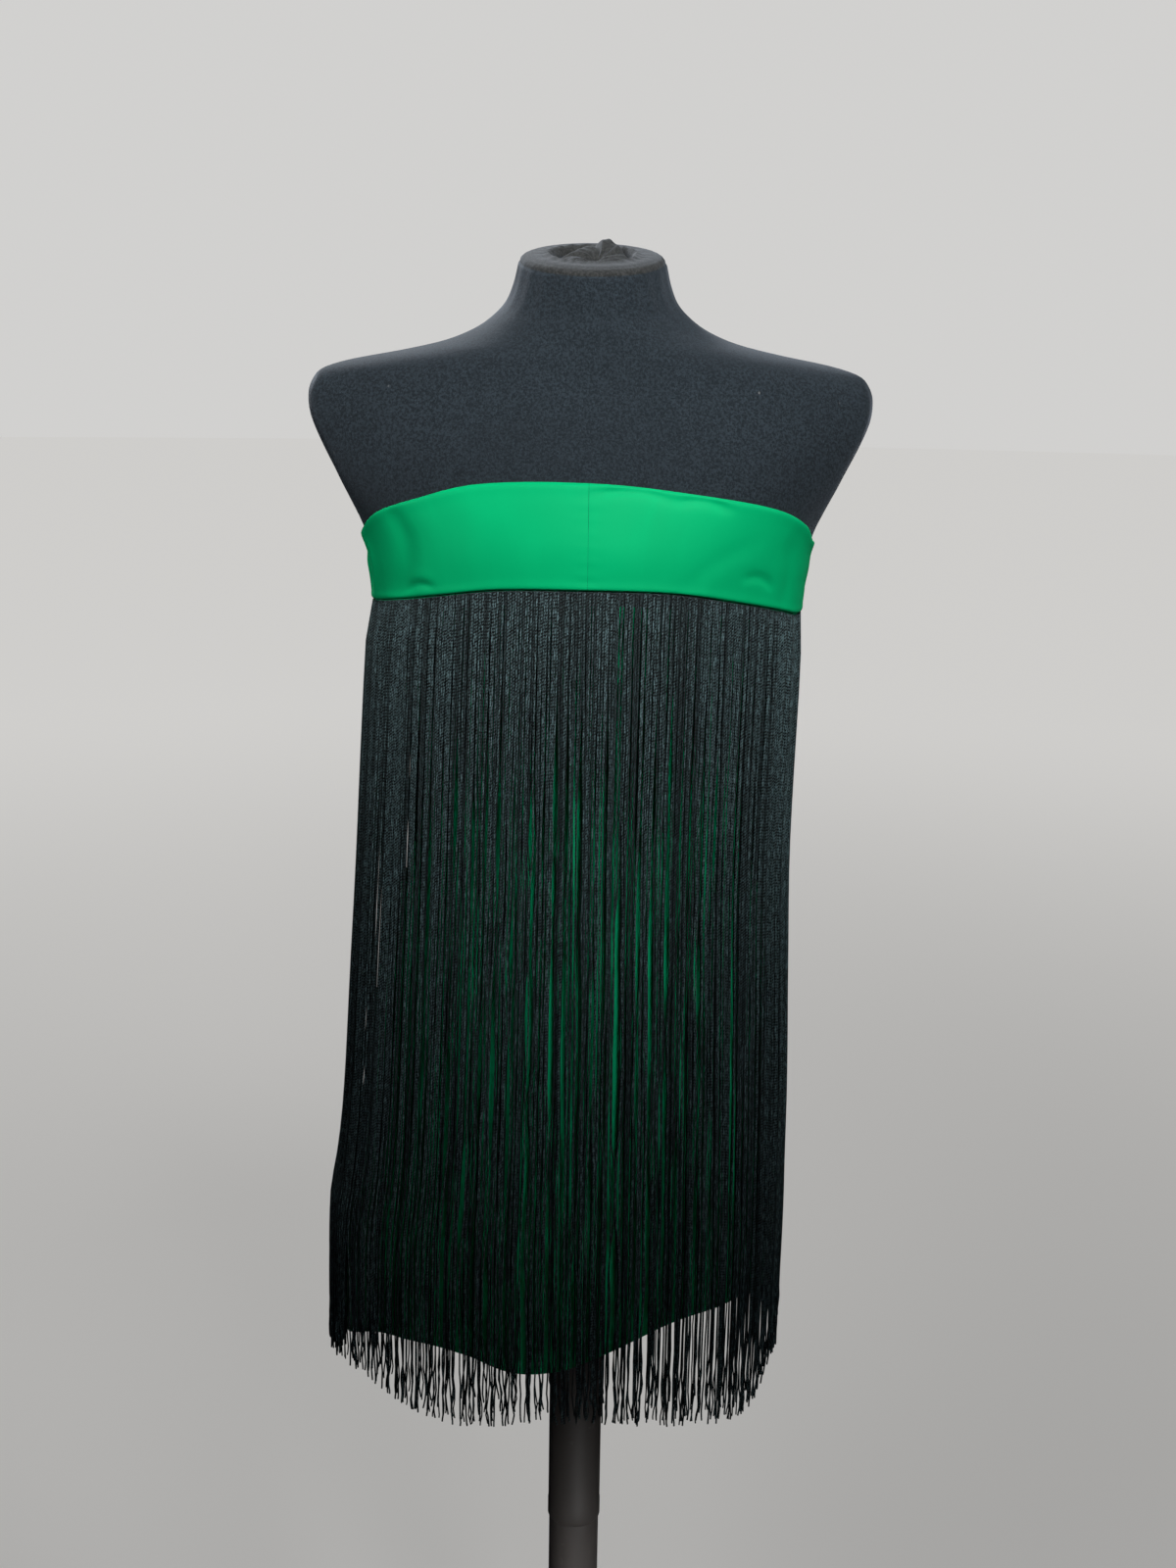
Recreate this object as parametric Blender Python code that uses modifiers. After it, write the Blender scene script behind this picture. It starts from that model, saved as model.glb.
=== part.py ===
"""Strapless fringe dress on a limbless jersey-covered dress form and pole stand.

The dress is a folded band round the bust, an A-line slip that hangs from it and a long rope
fringe that falls outside the slip. Everything is in metres, +Z up. The origin is on the pole's
axis at the underside of the foot, and the dress faces -Y. Heights on the figure are given as
drops below the shoulder line. Azimuths go round the figure in degrees: 0 is the front, 90 the
side at +X, 180 the back.
"""
import math
import random
from collections import namedtuple

import bmesh
import bpy

# Driving sizes
SHOULDER_HEIGHT = 1.380
FORM_LENGTH_BELOW_SHOULDER = 0.580
SEAM_GAP = 0.0003
SEAM_TURN = 0.04
FORM_COLUMNS = 48
CLOTH_COLUMNS = 72

# The form's neck: its top is cut off leaning forward, with a hole that holds the jersey's end
NECK_LEAN = math.radians(13.5)
NECK_HOLE_RADIUS = 0.0275
NECK_HOLE_DEPTH = 0.026
NECK_ROLL_RADIUS = 0.0400
NECK_ROLL_RISE = 0.0012
TUCK_FOLDS = 11
TUCK_FOLD_HEIGHT = 0.0022
TUCK_SINK = 0.0060

# The stand
BASE_RADIUS = 0.160
BASE_THICKNESS = 0.008
BASE_EDGE = 0.002
BOSS_RADIUS = 0.034
BOSS_HEIGHT = 0.026
BOSS_FLOOR = 0.004
LOWER_POLE_RADIUS = 0.0200
UPPER_POLE_RADIUS = 0.0208
SPIGOT_RADIUS = 0.0175
SPIGOT_LENGTH = 0.050
POLE_JOINT_HEIGHT = 0.464
POLE_EDGE = 0.0008
POLE_FIT = 0.0003
FORM_SOCKET_DEPTH = 0.090
TURNED_STEPS = 32

# The cloth, each layer as its distances out from the figure
BAND_INNER = 0.0010
BAND_OUTER = 0.0037
BAND_FOLD_INSET = 0.0011
SLIP_THICKNESS = 0.0010
HEADER_INNER = 0.0026
HEADER_OUTER = 0.0036
HEADER_HEIGHT = 0.010

# The fringe, as rope locks
LOCKS_PER_HALF = 72
LOCK_WIDTH = 0.0034
LOCK_DEPTH = 0.0016
LOCK_END_SHARE = 0.62
LOCK_LENGTH = 0.603
LOCK_LENGTH_SPREAD = 0.013
LOCK_SWAY = 0.0004
LOCK_LEVELS = (0.45, 0.76, 1.0)
FRINGE_SEED = 7

# The figure that the form and the dress are cut for. cut is how far the full oval would
# stand past the flat armhole side, lean how much the section tips forward with the neck.
FigureRow = namedtuple("FigureRow", "drop half_width cut front back fullness lean")
FIGURE = [
    FigureRow(-0.070, 0.0505, 1.00, 0.0505, 0.0515, 2.00, 1.0),
    FigureRow(-0.062, 0.0520, 1.00, 0.0525, 0.0535, 2.00, 1.0),
    FigureRow(-0.050, 0.0550, 1.00, 0.0540, 0.0555, 2.00, 1.0),
    FigureRow(-0.038, 0.0605, 1.00, 0.0555, 0.0580, 2.00, 0.8),
    FigureRow(-0.028, 0.0705, 1.00, 0.0575, 0.0605, 2.00, 0.5),
    FigureRow(-0.020, 0.0830, 1.00, 0.0590, 0.0625, 2.00, 0.3),
    FigureRow(-0.012, 0.1035, 1.00, 0.0600, 0.0645, 2.00, 0.1),
    FigureRow(-0.005, 0.1330, 1.01, 0.0610, 0.0665, 2.05, 0.0),
    FigureRow(0.001, 0.1640, 1.02, 0.0625, 0.0690, 2.10, 0.0),
    FigureRow(0.007, 0.1850, 1.04, 0.0640, 0.0715, 2.15, 0.0),
    FigureRow(0.014, 0.1930, 1.07, 0.0660, 0.0740, 2.20, 0.0),
    FigureRow(0.025, 0.1965, 1.10, 0.0700, 0.0790, 2.20, 0.0),
    FigureRow(0.042, 0.1940, 1.11, 0.0770, 0.0860, 2.20, 0.0),
    FigureRow(0.079, 0.1762, 1.09, 0.0930, 0.0960, 2.20, 0.0),
    FigureRow(0.117, 0.1555, 1.05, 0.1035, 0.1000, 2.20, 0.0),
    FigureRow(0.145, 0.1516, 1.01, 0.1065, 0.0990, 2.20, 0.0),
    FigureRow(0.172, 0.1490, 1.00, 0.1055, 0.0950, 2.20, 0.0),
    FigureRow(0.210, 0.1380, 1.00, 0.0985, 0.0880, 2.20, 0.0),
    FigureRow(0.250, 0.1210, 1.00, 0.0900, 0.0810, 2.20, 0.0),
    FigureRow(0.290, 0.1125, 1.00, 0.0855, 0.0790, 2.20, 0.0),
    FigureRow(0.335, 0.1150, 1.00, 0.0865, 0.0840, 2.20, 0.0),
    FigureRow(0.385, 0.1285, 1.00, 0.0920, 0.0940, 2.20, 0.0),
    FigureRow(0.435, 0.1395, 1.00, 0.0975, 0.1030, 2.20, 0.0),
    FigureRow(0.490, 0.1465, 1.00, 0.1005, 0.1075, 2.20, 0.0),
    FigureRow(0.540, 0.1485, 1.00, 0.1005, 0.1065, 2.20, 0.0),
    FigureRow(0.580, 0.1490, 1.00, 0.1000, 0.1050, 2.20, 0.0),
    FigureRow(0.800, 0.1490, 1.00, 0.1000, 0.1050, 2.20, 0.0),
]

# Heights of the band's edges, the slip's hem and so the seams between them, round the figure
EdgeRow = namedtuple("EdgeRow", "azimuth band_top band_bottom hem")
EDGES = [
    EdgeRow(-180.0, 0.1100, 0.1690, 0.7180),
    EdgeRow(-140.0, 0.1130, 0.1695, 0.7230),
    EdgeRow(-105.0, 0.1215, 0.1690, 0.7310),
    EdgeRow(-75.0, 0.1190, 0.1650, 0.7310),
    EdgeRow(-52.0, 0.1010, 0.1592, 0.7130),
    EdgeRow(-37.0, 0.0913, 0.1541, 0.7065),
    EdgeRow(-20.0, 0.0802, 0.1485, 0.7108),
    EdgeRow(0.0, 0.0783, 0.1474, 0.7200),
    EdgeRow(20.0, 0.0850, 0.1494, 0.6955),
    EdgeRow(42.0, 0.0950, 0.1579, 0.6820),
    EdgeRow(57.0, 0.1060, 0.1641, 0.6845),
    EdgeRow(72.0, 0.1195, 0.1700, 0.6910),
    EdgeRow(105.0, 0.1180, 0.1710, 0.7020),
    EdgeRow(140.0, 0.1150, 0.1700, 0.7120),
    EdgeRow(180.0, 0.1100, 0.1690, 0.7180),
]

# How far the slip stands off the figure at its sides, front and back, how far it swings to
# the side, and how much of each fold's depth there is
SlipRow = namedtuple("SlipRow", "drop swing side front back folds")
SLIP = [
    SlipRow(0.140, 0.0000, 0.0010, 0.0010, 0.0010, 0.00),
    SlipRow(0.185, 0.0000, 0.0014, 0.0014, 0.0014, 0.00),
    SlipRow(0.212, 0.0000, 0.0022, 0.0056, 0.0030, 0.10),
    SlipRow(0.250, 0.0000, 0.0030, 0.0124, 0.0070, 0.25),
    SlipRow(0.292, -0.0003, 0.0034, 0.0162, 0.0100, 0.32),
    SlipRow(0.350, -0.0015, 0.0040, 0.0160, 0.0090, 0.40),
    SlipRow(0.430, -0.0028, 0.0046, 0.0092, 0.0042, 0.50),
    SlipRow(0.515, -0.0050, 0.0066, 0.0066, 0.0034, 0.60),
    SlipRow(0.585, -0.0070, 0.0086, 0.0080, 0.0060, 0.76),
    SlipRow(0.640, -0.0160, 0.0110, 0.0088, 0.0070, 0.88),
    SlipRow(0.740, -0.0200, 0.0128, 0.0095, 0.0080, 1.00),
]

# The slip's soft folds as ridges, each at its hem's azimuth with its depth and width there
FoldRow = namedtuple("FoldRow", "azimuth depth width")
FOLDS = [
    FoldRow(-168.0, 0.0042, 9.0),
    FoldRow(-141.0, 0.0034, 8.0),
    FoldRow(-118.0, 0.0046, 8.5),
    FoldRow(-92.0, 0.0030, 9.0),
    FoldRow(-64.0, 0.0046, 8.0),
    FoldRow(-38.0, 0.0036, 7.5),
    FoldRow(-9.0, 0.0050, 8.5),
    FoldRow(17.0, 0.0034, 7.0),
    FoldRow(45.0, 0.0046, 8.0),
    FoldRow(74.0, 0.0038, 9.0),
    FoldRow(101.0, 0.0044, 8.0),
    FoldRow(126.0, 0.0032, 7.5),
    FoldRow(153.0, 0.0048, 8.5),
]

# The surface that the fringe falls along
FallRow = namedtuple("FallRow", "drop swing half_width front back")
FALL = [
    FallRow(0.150, -0.0010, 0.1545, 0.1105, 0.1010),
    FallRow(0.215, -0.0030, 0.1560, 0.1110, 0.1010),
    FallRow(0.290, -0.0060, 0.1575, 0.1120, 0.1035),
    FallRow(0.360, -0.0082, 0.1593, 0.1134, 0.1105),
    FallRow(0.435, -0.0095, 0.1630, 0.1150, 0.1180),
    FallRow(0.540, -0.0112, 0.1680, 0.1174, 0.1220),
    FallRow(0.586, -0.0134, 0.1707, 0.1188, 0.1222),
    FallRow(0.630, -0.0166, 0.1746, 0.1202, 0.1224),
    FallRow(0.740, -0.0180, 0.1755, 0.1220, 0.1230),
    FallRow(0.840, -0.0180, 0.1755, 0.1220, 0.1230),
]

MATERIALS = {
    # name: colour, roughness, metallic
    "band_satin": ((0.000, 0.400, 0.150), 0.55, 0.0),
    "slip_satin": ((0.004, 0.210, 0.080), 0.30, 0.0),
    "fringe_rope": ((0.012, 0.014, 0.015), 0.60, 0.0),
    "form_jersey": ((0.024, 0.031, 0.036), 0.95, 0.0),
    "stand_paint": ((0.024, 0.021, 0.020), 0.38, 0.2),
}


def clear_scene():
    """Remove what the file opened with."""
    for thing in list(bpy.data.objects):
        bpy.data.objects.remove(thing, do_unlink=True)


def make_materials():
    """One Principled material for each finish."""
    made = {}
    for name, (colour, roughness, metallic) in MATERIALS.items():
        material = bpy.data.materials.new(name)
        material.use_nodes = True
        shader = material.node_tree.nodes["Principled BSDF"]
        shader.inputs["Base Color"].default_value = (*colour, 1.0)
        shader.inputs["Roughness"].default_value = roughness
        shader.inputs["Metallic"].default_value = metallic
        made[name] = material
    return made


def row_at(rows, key):
    """A row of the table at any key, on a smooth curve through the rows."""
    if key <= rows[0][0]:
        return rows[0]
    if key >= rows[-1][0]:
        return rows[-1]
    low = max(i for i, row in enumerate(rows) if row[0] <= key)
    before, start = rows[max(low - 1, 0)], rows[low]
    end, after = rows[low + 1], rows[min(low + 2, len(rows) - 1)]
    span = end[0] - start[0]
    t = (key - start[0]) / span
    values = [key]
    for i in range(1, len(start)):
        slope_in = (end[i] - before[i]) / (end[0] - before[0]) * span
        slope_out = (after[i] - start[i]) / (after[0] - start[0]) * span
        rise = end[i] - start[i]
        curved = (3.0 * rise - 2.0 * slope_in - slope_out) * t * t
        values.append(start[i] + slope_in * t + curved + (slope_in + slope_out - 2.0 * rise) * t ** 3)
    return type(start)(*values)


def edges_at(azimuth):
    """The edge heights at any azimuth, which may lie outside -180 to 180."""
    return row_at(EDGES, (azimuth + 180.0) % 360.0 - 180.0)


def oval_point(azimuth, half_width, front, back, fullness, limit=None):
    """A point of a full oval, its sides cut flat at the limit where there is one."""
    angle = math.radians(azimuth)
    across, along = math.sin(angle), math.cos(angle)
    power = 2.0 / fullness
    x = math.copysign(abs(across) ** power, across) * half_width
    depth = front if along > 0.0 else back
    y = -math.copysign(abs(along) ** power, along) * depth
    if limit is not None:
        x = max(-limit, min(limit, x))
    return x, y


def figure_point(azimuth, drop, out=0.0):
    """A point of the figure, moved out."""
    row = row_at(FIGURE, drop)
    x, y = oval_point(azimuth, row.half_width * row.cut + out, row.front + out, row.back + out,
                      row.fullness, row.half_width + out)
    return x, y, SHOULDER_HEIGHT - drop + y * math.tan(NECK_LEAN) * row.lean


def slip_point(azimuth, drop, out=0.0):
    """A point of the slip's inner face, moved out, with its folds."""
    figure = row_at(FIGURE, drop)
    row = row_at(SLIP, drop)
    ridge = 0.0
    for fold in FOLDS:
        away = (azimuth - fold.azimuth + 180.0) % 360.0 - 180.0
        ridge += fold.depth * math.exp(-(away / fold.width) ** 2)
    out = out + ridge * row.folds
    x, y = oval_point(azimuth, figure.half_width * figure.cut + row.side + out,
                      figure.front + row.front + out, figure.back + row.back + out,
                      figure.fullness, figure.half_width + row.side + out)
    return x + row.swing, y, SHOULDER_HEIGHT - drop


def fall_point(azimuth, drop, out=0.0):
    """A point of the surface that the fringe falls along, moved out."""
    row = row_at(FALL, drop)
    x, y = oval_point(azimuth, row.half_width + out, row.front + out, row.back + out, 2.2)
    return x + row.swing, y, SHOULDER_HEIGHT - drop


def add_object(name, mesh_source, material, collection, smooth_angle=40.0):
    """Turn a bmesh into a named object of the dress's collection."""
    mesh = bpy.data.meshes.new(name)
    mesh_source.to_mesh(mesh)
    mesh_source.free()
    mesh.materials.append(material)
    mesh.shade_smooth()
    mesh.set_sharp_from_angle(angle=math.radians(smooth_angle))
    thing = bpy.data.objects.new(name, mesh)
    collection.objects.link(thing)
    return thing


def skin_rings(shape, rings):
    """Faces between closed rings of vertices, each ring above the next."""
    for upper, lower in zip(rings, rings[1:]):
        count = len(upper)
        for i in range(count):
            j = (i + 1) % count
            shape.faces.new((upper[i], lower[i], lower[j], upper[j]))


def cap_ring(shape, ring, centre, upward):
    """Close a ring with a fan round a centre point."""
    middle = shape.verts.new(centre)
    for i in range(len(ring)):
        pair = (ring[i], ring[(i + 1) % len(ring)])
        if not upward:
            pair = pair[::-1]
        shape.faces.new((middle, *pair))


def add_turned(name, profile, material, collection):
    """A turned piece: a profile of radius and height, from its top down, spun about the axis."""
    mesh = bpy.data.meshes.new(name)
    points = [(radius, 0.0, height) for radius, height in profile]
    mesh.from_pydata(points, [(i, i + 1) for i in range(len(points) - 1)], [])
    mesh.materials.append(material)
    thing = bpy.data.objects.new(name, mesh)
    collection.objects.link(thing)
    spin = thing.modifiers.new("spin", "SCREW")
    spin.steps = TURNED_STEPS
    spin.render_steps = TURNED_STEPS
    spin.use_merge_vertices = True
    spin.merge_threshold = 0.0001
    spin.use_smooth_shade = True
    return thing


def column_azimuths(start, end, step):
    """Azimuths of a panel's columns, its first and last one a seam's turn inside its ends."""
    count = round((end - start) / step)
    inner = [start + (end - start) * i / count for i in range(1, count)]
    return [start + SEAM_TURN] + inner + [end - SEAM_TURN]


def add_wall(name, azimuths, rows, outer_point, inner_point, material, collection):
    """A panel of cloth. Its two faces are worked out apart, so its ends keep the seams' gaps."""
    shape = bmesh.new()
    outer = [[shape.verts.new(outer_point(a, row)) for a in azimuths] for row in rows]
    inner = [[shape.verts.new(inner_point(a, row)) for a in azimuths] for row in rows]
    last_row, last_column = len(rows) - 1, len(azimuths) - 1
    for r in range(last_row):
        for c in range(last_column):
            shape.faces.new((outer[r][c], outer[r + 1][c], outer[r + 1][c + 1], outer[r][c + 1]))
            shape.faces.new((inner[r][c], inner[r][c + 1], inner[r + 1][c + 1], inner[r + 1][c]))
        shape.faces.new((outer[r][0], inner[r][0], inner[r + 1][0], outer[r + 1][0]))
        shape.faces.new((outer[r][last_column], outer[r + 1][last_column],
                         inner[r + 1][last_column], inner[r][last_column]))
    for c in range(last_column):
        shape.faces.new((outer[0][c], outer[0][c + 1], inner[0][c + 1], inner[0][c]))
        shape.faces.new((outer[last_row][c], inner[last_row][c],
                         inner[last_row][c + 1], outer[last_row][c + 1]))
    return add_object(name, shape, material, collection)


def make_form(materials, collection):
    """The torso, from the hole in its neck down over the shoulders to the socket underneath."""
    azimuths = [360.0 * i / FORM_COLUMNS for i in range(FORM_COLUMNS)]
    shape = bmesh.new()

    def round_ring(radius, drop, lean):
        points = (oval_point(a, radius, radius, radius, 2.0) for a in azimuths)
        tip = math.tan(NECK_LEAN) * lean
        return [shape.verts.new((x, y, SHOULDER_HEIGHT - drop + y * tip)) for x, y in points]

    top = FIGURE[0].drop
    bottom = FORM_LENGTH_BELOW_SHOULDER
    rings = [
        round_ring(NECK_HOLE_RADIUS, top + NECK_HOLE_DEPTH, 1.0),
        round_ring(NECK_HOLE_RADIUS, top + NECK_ROLL_RISE, 1.0),
        round_ring(NECK_HOLE_RADIUS + NECK_ROLL_RISE, top - NECK_ROLL_RISE * 0.6, 1.0),
        round_ring(NECK_ROLL_RADIUS, top - NECK_ROLL_RISE, 1.0),
        round_ring(FIGURE[0].half_width - NECK_ROLL_RISE, top - NECK_ROLL_RISE * 0.6, 1.0),
    ]
    for row in FIGURE:
        if row.drop <= bottom:
            rings.append([shape.verts.new(figure_point(a, row.drop)) for a in azimuths])
    socket_radius = UPPER_POLE_RADIUS + POLE_FIT
    rings.append(round_ring(socket_radius, bottom, 0.0))
    rings.append(round_ring(socket_radius, bottom - FORM_SOCKET_DEPTH, 0.0))
    skin_rings(shape, rings)
    cap_ring(shape, rings[0], (0.0, 0.0, SHOULDER_HEIGHT - top - NECK_HOLE_DEPTH), True)
    cap_ring(shape, rings[-1], (0.0, 0.0, SHOULDER_HEIGHT - bottom + FORM_SOCKET_DEPTH), False)
    return add_object("torso_form", shape, materials["form_jersey"], collection)


def make_neck_tuck(materials, collection):
    """The jersey's gathered end, in the hole of the neck: a plug with a fluted, sunken top."""
    azimuths = [360.0 * i / (TUCK_FOLDS * 4) for i in range(TUCK_FOLDS * 4)]
    rim = NECK_HOLE_RADIUS - SEAM_GAP
    top = SHOULDER_HEIGHT - FIGURE[0].drop
    tip = math.tan(NECK_LEAN)
    shape = bmesh.new()

    def fluted_ring(radius, sink, flute):
        ring = []
        for a in azimuths:
            x, y = oval_point(a, radius, radius, radius, 2.0)
            rise = flute * math.cos(math.radians(a) * TUCK_FOLDS)
            ring.append(shape.verts.new((x, y, top - sink + rise + y * tip)))
        return ring

    floor = NECK_HOLE_DEPTH - SEAM_GAP
    rings = [
        fluted_ring(rim * 0.30, TUCK_SINK * 1.6, TUCK_FOLD_HEIGHT * 0.4),
        fluted_ring(rim * 0.62, TUCK_SINK, TUCK_FOLD_HEIGHT),
        fluted_ring(rim * 0.90, TUCK_SINK * 0.5, TUCK_FOLD_HEIGHT * 0.8),
        fluted_ring(rim, TUCK_SINK, 0.0),
        fluted_ring(rim, floor, 0.0),
    ]
    skin_rings(shape, rings)
    cap_ring(shape, rings[0], (0.0, 0.0, top - TUCK_SINK * 1.7), True)
    cap_ring(shape, rings[-1], (0.0, 0.0, top - floor), False)
    return add_object("neck_tuck", shape, materials["form_jersey"], collection)


def make_stand(materials, collection):
    """The round foot with its boss, the lower pole and the wider upper pole that it plugs into."""
    paint = materials["stand_paint"]
    bore = LOWER_POLE_RADIUS + POLE_FIT
    add_turned("base_plate", [
        (0.0, BOSS_FLOOR),
        (bore, BOSS_FLOOR),
        (bore, BOSS_HEIGHT),
        (BOSS_RADIUS - BASE_EDGE, BOSS_HEIGHT),
        (BOSS_RADIUS, BOSS_HEIGHT - BASE_EDGE),
        (BOSS_RADIUS, BASE_THICKNESS),
        (BASE_RADIUS - BASE_EDGE, BASE_THICKNESS),
        (BASE_RADIUS, BASE_THICKNESS - BASE_EDGE),
        (BASE_RADIUS, BASE_EDGE),
        (BASE_RADIUS - BASE_EDGE, 0.0),
        (0.0, 0.0),
    ], paint, collection)
    add_turned("pole_lower", [
        (0.0, POLE_JOINT_HEIGHT + SPIGOT_LENGTH),
        (SPIGOT_RADIUS - POLE_EDGE, POLE_JOINT_HEIGHT + SPIGOT_LENGTH),
        (SPIGOT_RADIUS, POLE_JOINT_HEIGHT + SPIGOT_LENGTH - POLE_EDGE),
        (SPIGOT_RADIUS, POLE_JOINT_HEIGHT),
        (LOWER_POLE_RADIUS - POLE_EDGE, POLE_JOINT_HEIGHT),
        (LOWER_POLE_RADIUS, POLE_JOINT_HEIGHT - POLE_EDGE),
        (LOWER_POLE_RADIUS, BOSS_FLOOR + POLE_FIT),
        (0.0, BOSS_FLOOR + POLE_FIT),
    ], paint, collection)
    joint = POLE_JOINT_HEIGHT + POLE_FIT
    socket = SPIGOT_RADIUS + POLE_FIT
    pole_top = SHOULDER_HEIGHT - FORM_LENGTH_BELOW_SHOULDER + FORM_SOCKET_DEPTH - POLE_FIT
    add_turned("pole_upper", [
        (0.0, pole_top),
        (UPPER_POLE_RADIUS, pole_top),
        (UPPER_POLE_RADIUS, joint + POLE_EDGE),
        (UPPER_POLE_RADIUS - POLE_EDGE, joint),
        (socket, joint),
        (socket, joint + SPIGOT_LENGTH),
        (0.0, joint + SPIGOT_LENGTH),
    ], paint, collection)


def make_band(materials, collection):
    """The folded band's three panels, with soft folds along its top and bottom edges."""
    levels = (0.0, 0.06, 0.35, 0.65, 0.94, 1.0)

    def band_drop(azimuth, level):
        edge = edges_at(azimuth)
        return edge.band_top + (edge.band_bottom - edge.band_top) * level

    def outer_point(azimuth, level):
        inset = BAND_FOLD_INSET if level in (levels[0], levels[-1]) else 0.0
        return figure_point(azimuth, band_drop(azimuth, level), BAND_OUTER - inset)

    def inner_point(azimuth, level):
        return figure_point(azimuth, band_drop(azimuth, level), BAND_INNER)

    step = 360.0 / CLOTH_COLUMNS
    panels = {"band_front_left": (-90.0, 0.0), "band_front_right": (0.0, 90.0),
              "band_back": (90.0, 270.0)}
    for name, (start, end) in panels.items():
        add_wall(name, column_azimuths(start, end, step), levels, outer_point, inner_point,
                 materials["band_satin"], collection)


def make_slip(materials, collection):
    """The A-line slip's front and back, from under the band to the uneven hem."""
    inner_rows = [row.drop for row in SLIP[1:-1]]
    rows = ["top"] + inner_rows + ["hem"]

    def slip_drop(azimuth, row):
        edge = edges_at(azimuth)
        return {"top": edge.band_bottom + SEAM_GAP, "hem": edge.hem}.get(row, row)

    def outer_point(azimuth, row):
        return slip_point(azimuth, slip_drop(azimuth, row), SLIP_THICKNESS)

    def inner_point(azimuth, row):
        return slip_point(azimuth, slip_drop(azimuth, row))

    step = 360.0 / CLOTH_COLUMNS
    for name, (start, end) in {"slip_front": (-90.0, 90.0), "slip_back": (90.0, 270.0)}.items():
        add_wall(name, column_azimuths(start, end, step), rows, outer_point, inner_point,
                 materials["slip_satin"], collection)


def even_azimuths(start, end, count):
    """Azimuths that part the fringe's oval into lengths that are all the same."""
    samples = [start + (end - start) * i / 720 for i in range(721)]
    lengths = [0.0]
    for before, after in zip(samples, samples[1:]):
        x0, y0, _ = fall_point(before, FALL[0].drop)
        x1, y1, _ = fall_point(after, FALL[0].drop)
        lengths.append(lengths[-1] + math.hypot(x1 - x0, y1 - y0))
    found = []
    place = 0
    for i in range(count + 1):
        wanted = lengths[-1] * i / count
        while place < len(lengths) - 2 and lengths[place + 1] < wanted:
            place += 1
        share = (wanted - lengths[place]) / (lengths[place + 1] - lengths[place])
        found.append(samples[place] + (samples[place + 1] - samples[place]) * share)
    return found


def lock_section(azimuth, drop, width, depth, sway):
    """The four corners of a lock where it passes a height: outer pair, then inner pair."""
    x, y, z = fall_point(azimuth, drop)
    ahead_x, ahead_y, _ = fall_point(azimuth + 0.5, drop)
    length = math.hypot(ahead_x - x, ahead_y - y)
    along_x, along_y = (ahead_x - x) / length, (ahead_y - y) / length
    corners = []
    for side, inward in ((-0.5, 0.0), (0.5, 0.0), (0.5, depth), (-0.5, depth)):
        shift = side * width + sway
        corners.append((x + along_x * shift - along_y * inward,
                        y + along_y * shift + along_x * inward, z))
    return corners


def make_fringe_half(name, start, end, chance, materials, collection):
    """Half of the fringe: a narrow header tape whose every other cell runs down as a lock."""
    azimuths = even_azimuths(start, end, LOCKS_PER_HALF * 2 + 1)
    azimuths[0] += SEAM_TURN
    azimuths[-1] -= SEAM_TURN
    shape = bmesh.new()

    def header_row(below, out):
        points = (figure_point(a, edges_at(a).band_bottom + SEAM_GAP + below, out) for a in azimuths)
        return [shape.verts.new(point) for point in points]

    outer_top = header_row(0.0, HEADER_OUTER)
    outer_low = header_row(HEADER_HEIGHT, HEADER_OUTER)
    inner_top = header_row(0.0, HEADER_INNER)
    inner_low = header_row(HEADER_HEIGHT, HEADER_INNER)
    roots = []
    for c in range(len(azimuths) - 1):
        shape.faces.new((outer_top[c], outer_low[c], outer_low[c + 1], outer_top[c + 1]))
        shape.faces.new((inner_top[c], inner_top[c + 1], inner_low[c + 1], inner_low[c]))
        shape.faces.new((outer_top[c], outer_top[c + 1], inner_top[c + 1], inner_top[c]))
        cell = (outer_low[c], outer_low[c + 1], inner_low[c + 1], inner_low[c])
        if c % 2 == 1:
            roots.append((c, cell))
        else:
            shape.faces.new(cell[::-1])
    for c in (0, -1):
        side = (outer_top[c], inner_top[c], inner_low[c], outer_low[c])
        shape.faces.new(side if c == 0 else side[::-1])

    for c, cell in roots:
        azimuth = 0.5 * (azimuths[c] + azimuths[c + 1])
        root_drop = edges_at(azimuth).band_bottom + SEAM_GAP + HEADER_HEIGHT
        length = LOCK_LENGTH + chance.uniform(-LOCK_LENGTH_SPREAD, LOCK_LENGTH_SPREAD)
        sway = chance.uniform(-LOCK_SWAY, LOCK_SWAY)
        above = cell
        for level in LOCK_LEVELS:
            width = LOCK_WIDTH * (1.0 + (LOCK_END_SHARE - 1.0) * level * level)
            drop = root_drop + (length - HEADER_HEIGHT) * level
            corners = lock_section(azimuth, drop, width, LOCK_DEPTH, sway * level)
            below = [shape.verts.new(corner) for corner in corners]
            for i in range(4):
                j = (i + 1) % 4
                shape.faces.new((above[i], below[i], below[j], above[j]))
            above = below
        shape.faces.new(above[::-1])
    return add_object(name, shape, materials["fringe_rope"], collection, 60.0)


def make_fringe(materials, collection):
    """The fringe's two halves, which meet at the side seams."""
    chance = random.Random(FRINGE_SEED)
    make_fringe_half("fringe_front", -90.0, 90.0, chance, materials, collection)
    make_fringe_half("fringe_back", 90.0, 270.0, chance, materials, collection)


def main():
    clear_scene()
    collection = bpy.data.collections.new("fringe_dress")
    bpy.context.scene.collection.children.link(collection)
    materials = make_materials()
    make_stand(materials, collection)
    make_form(materials, collection)
    make_neck_tuck(materials, collection)
    make_band(materials, collection)
    make_slip(materials, collection)
    make_fringe(materials, collection)


main()
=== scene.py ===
"""Looks of a strapless fringe dress on a limbless dress form and pole stand.

Lengths are in metres, +Z up, and the dress faces -Y. Heights on the figure are drops below the
shoulder line. Azimuths go round the figure in degrees: 0 is the front, 90 the side at +X.
"""
import math
from collections import namedtuple

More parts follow.
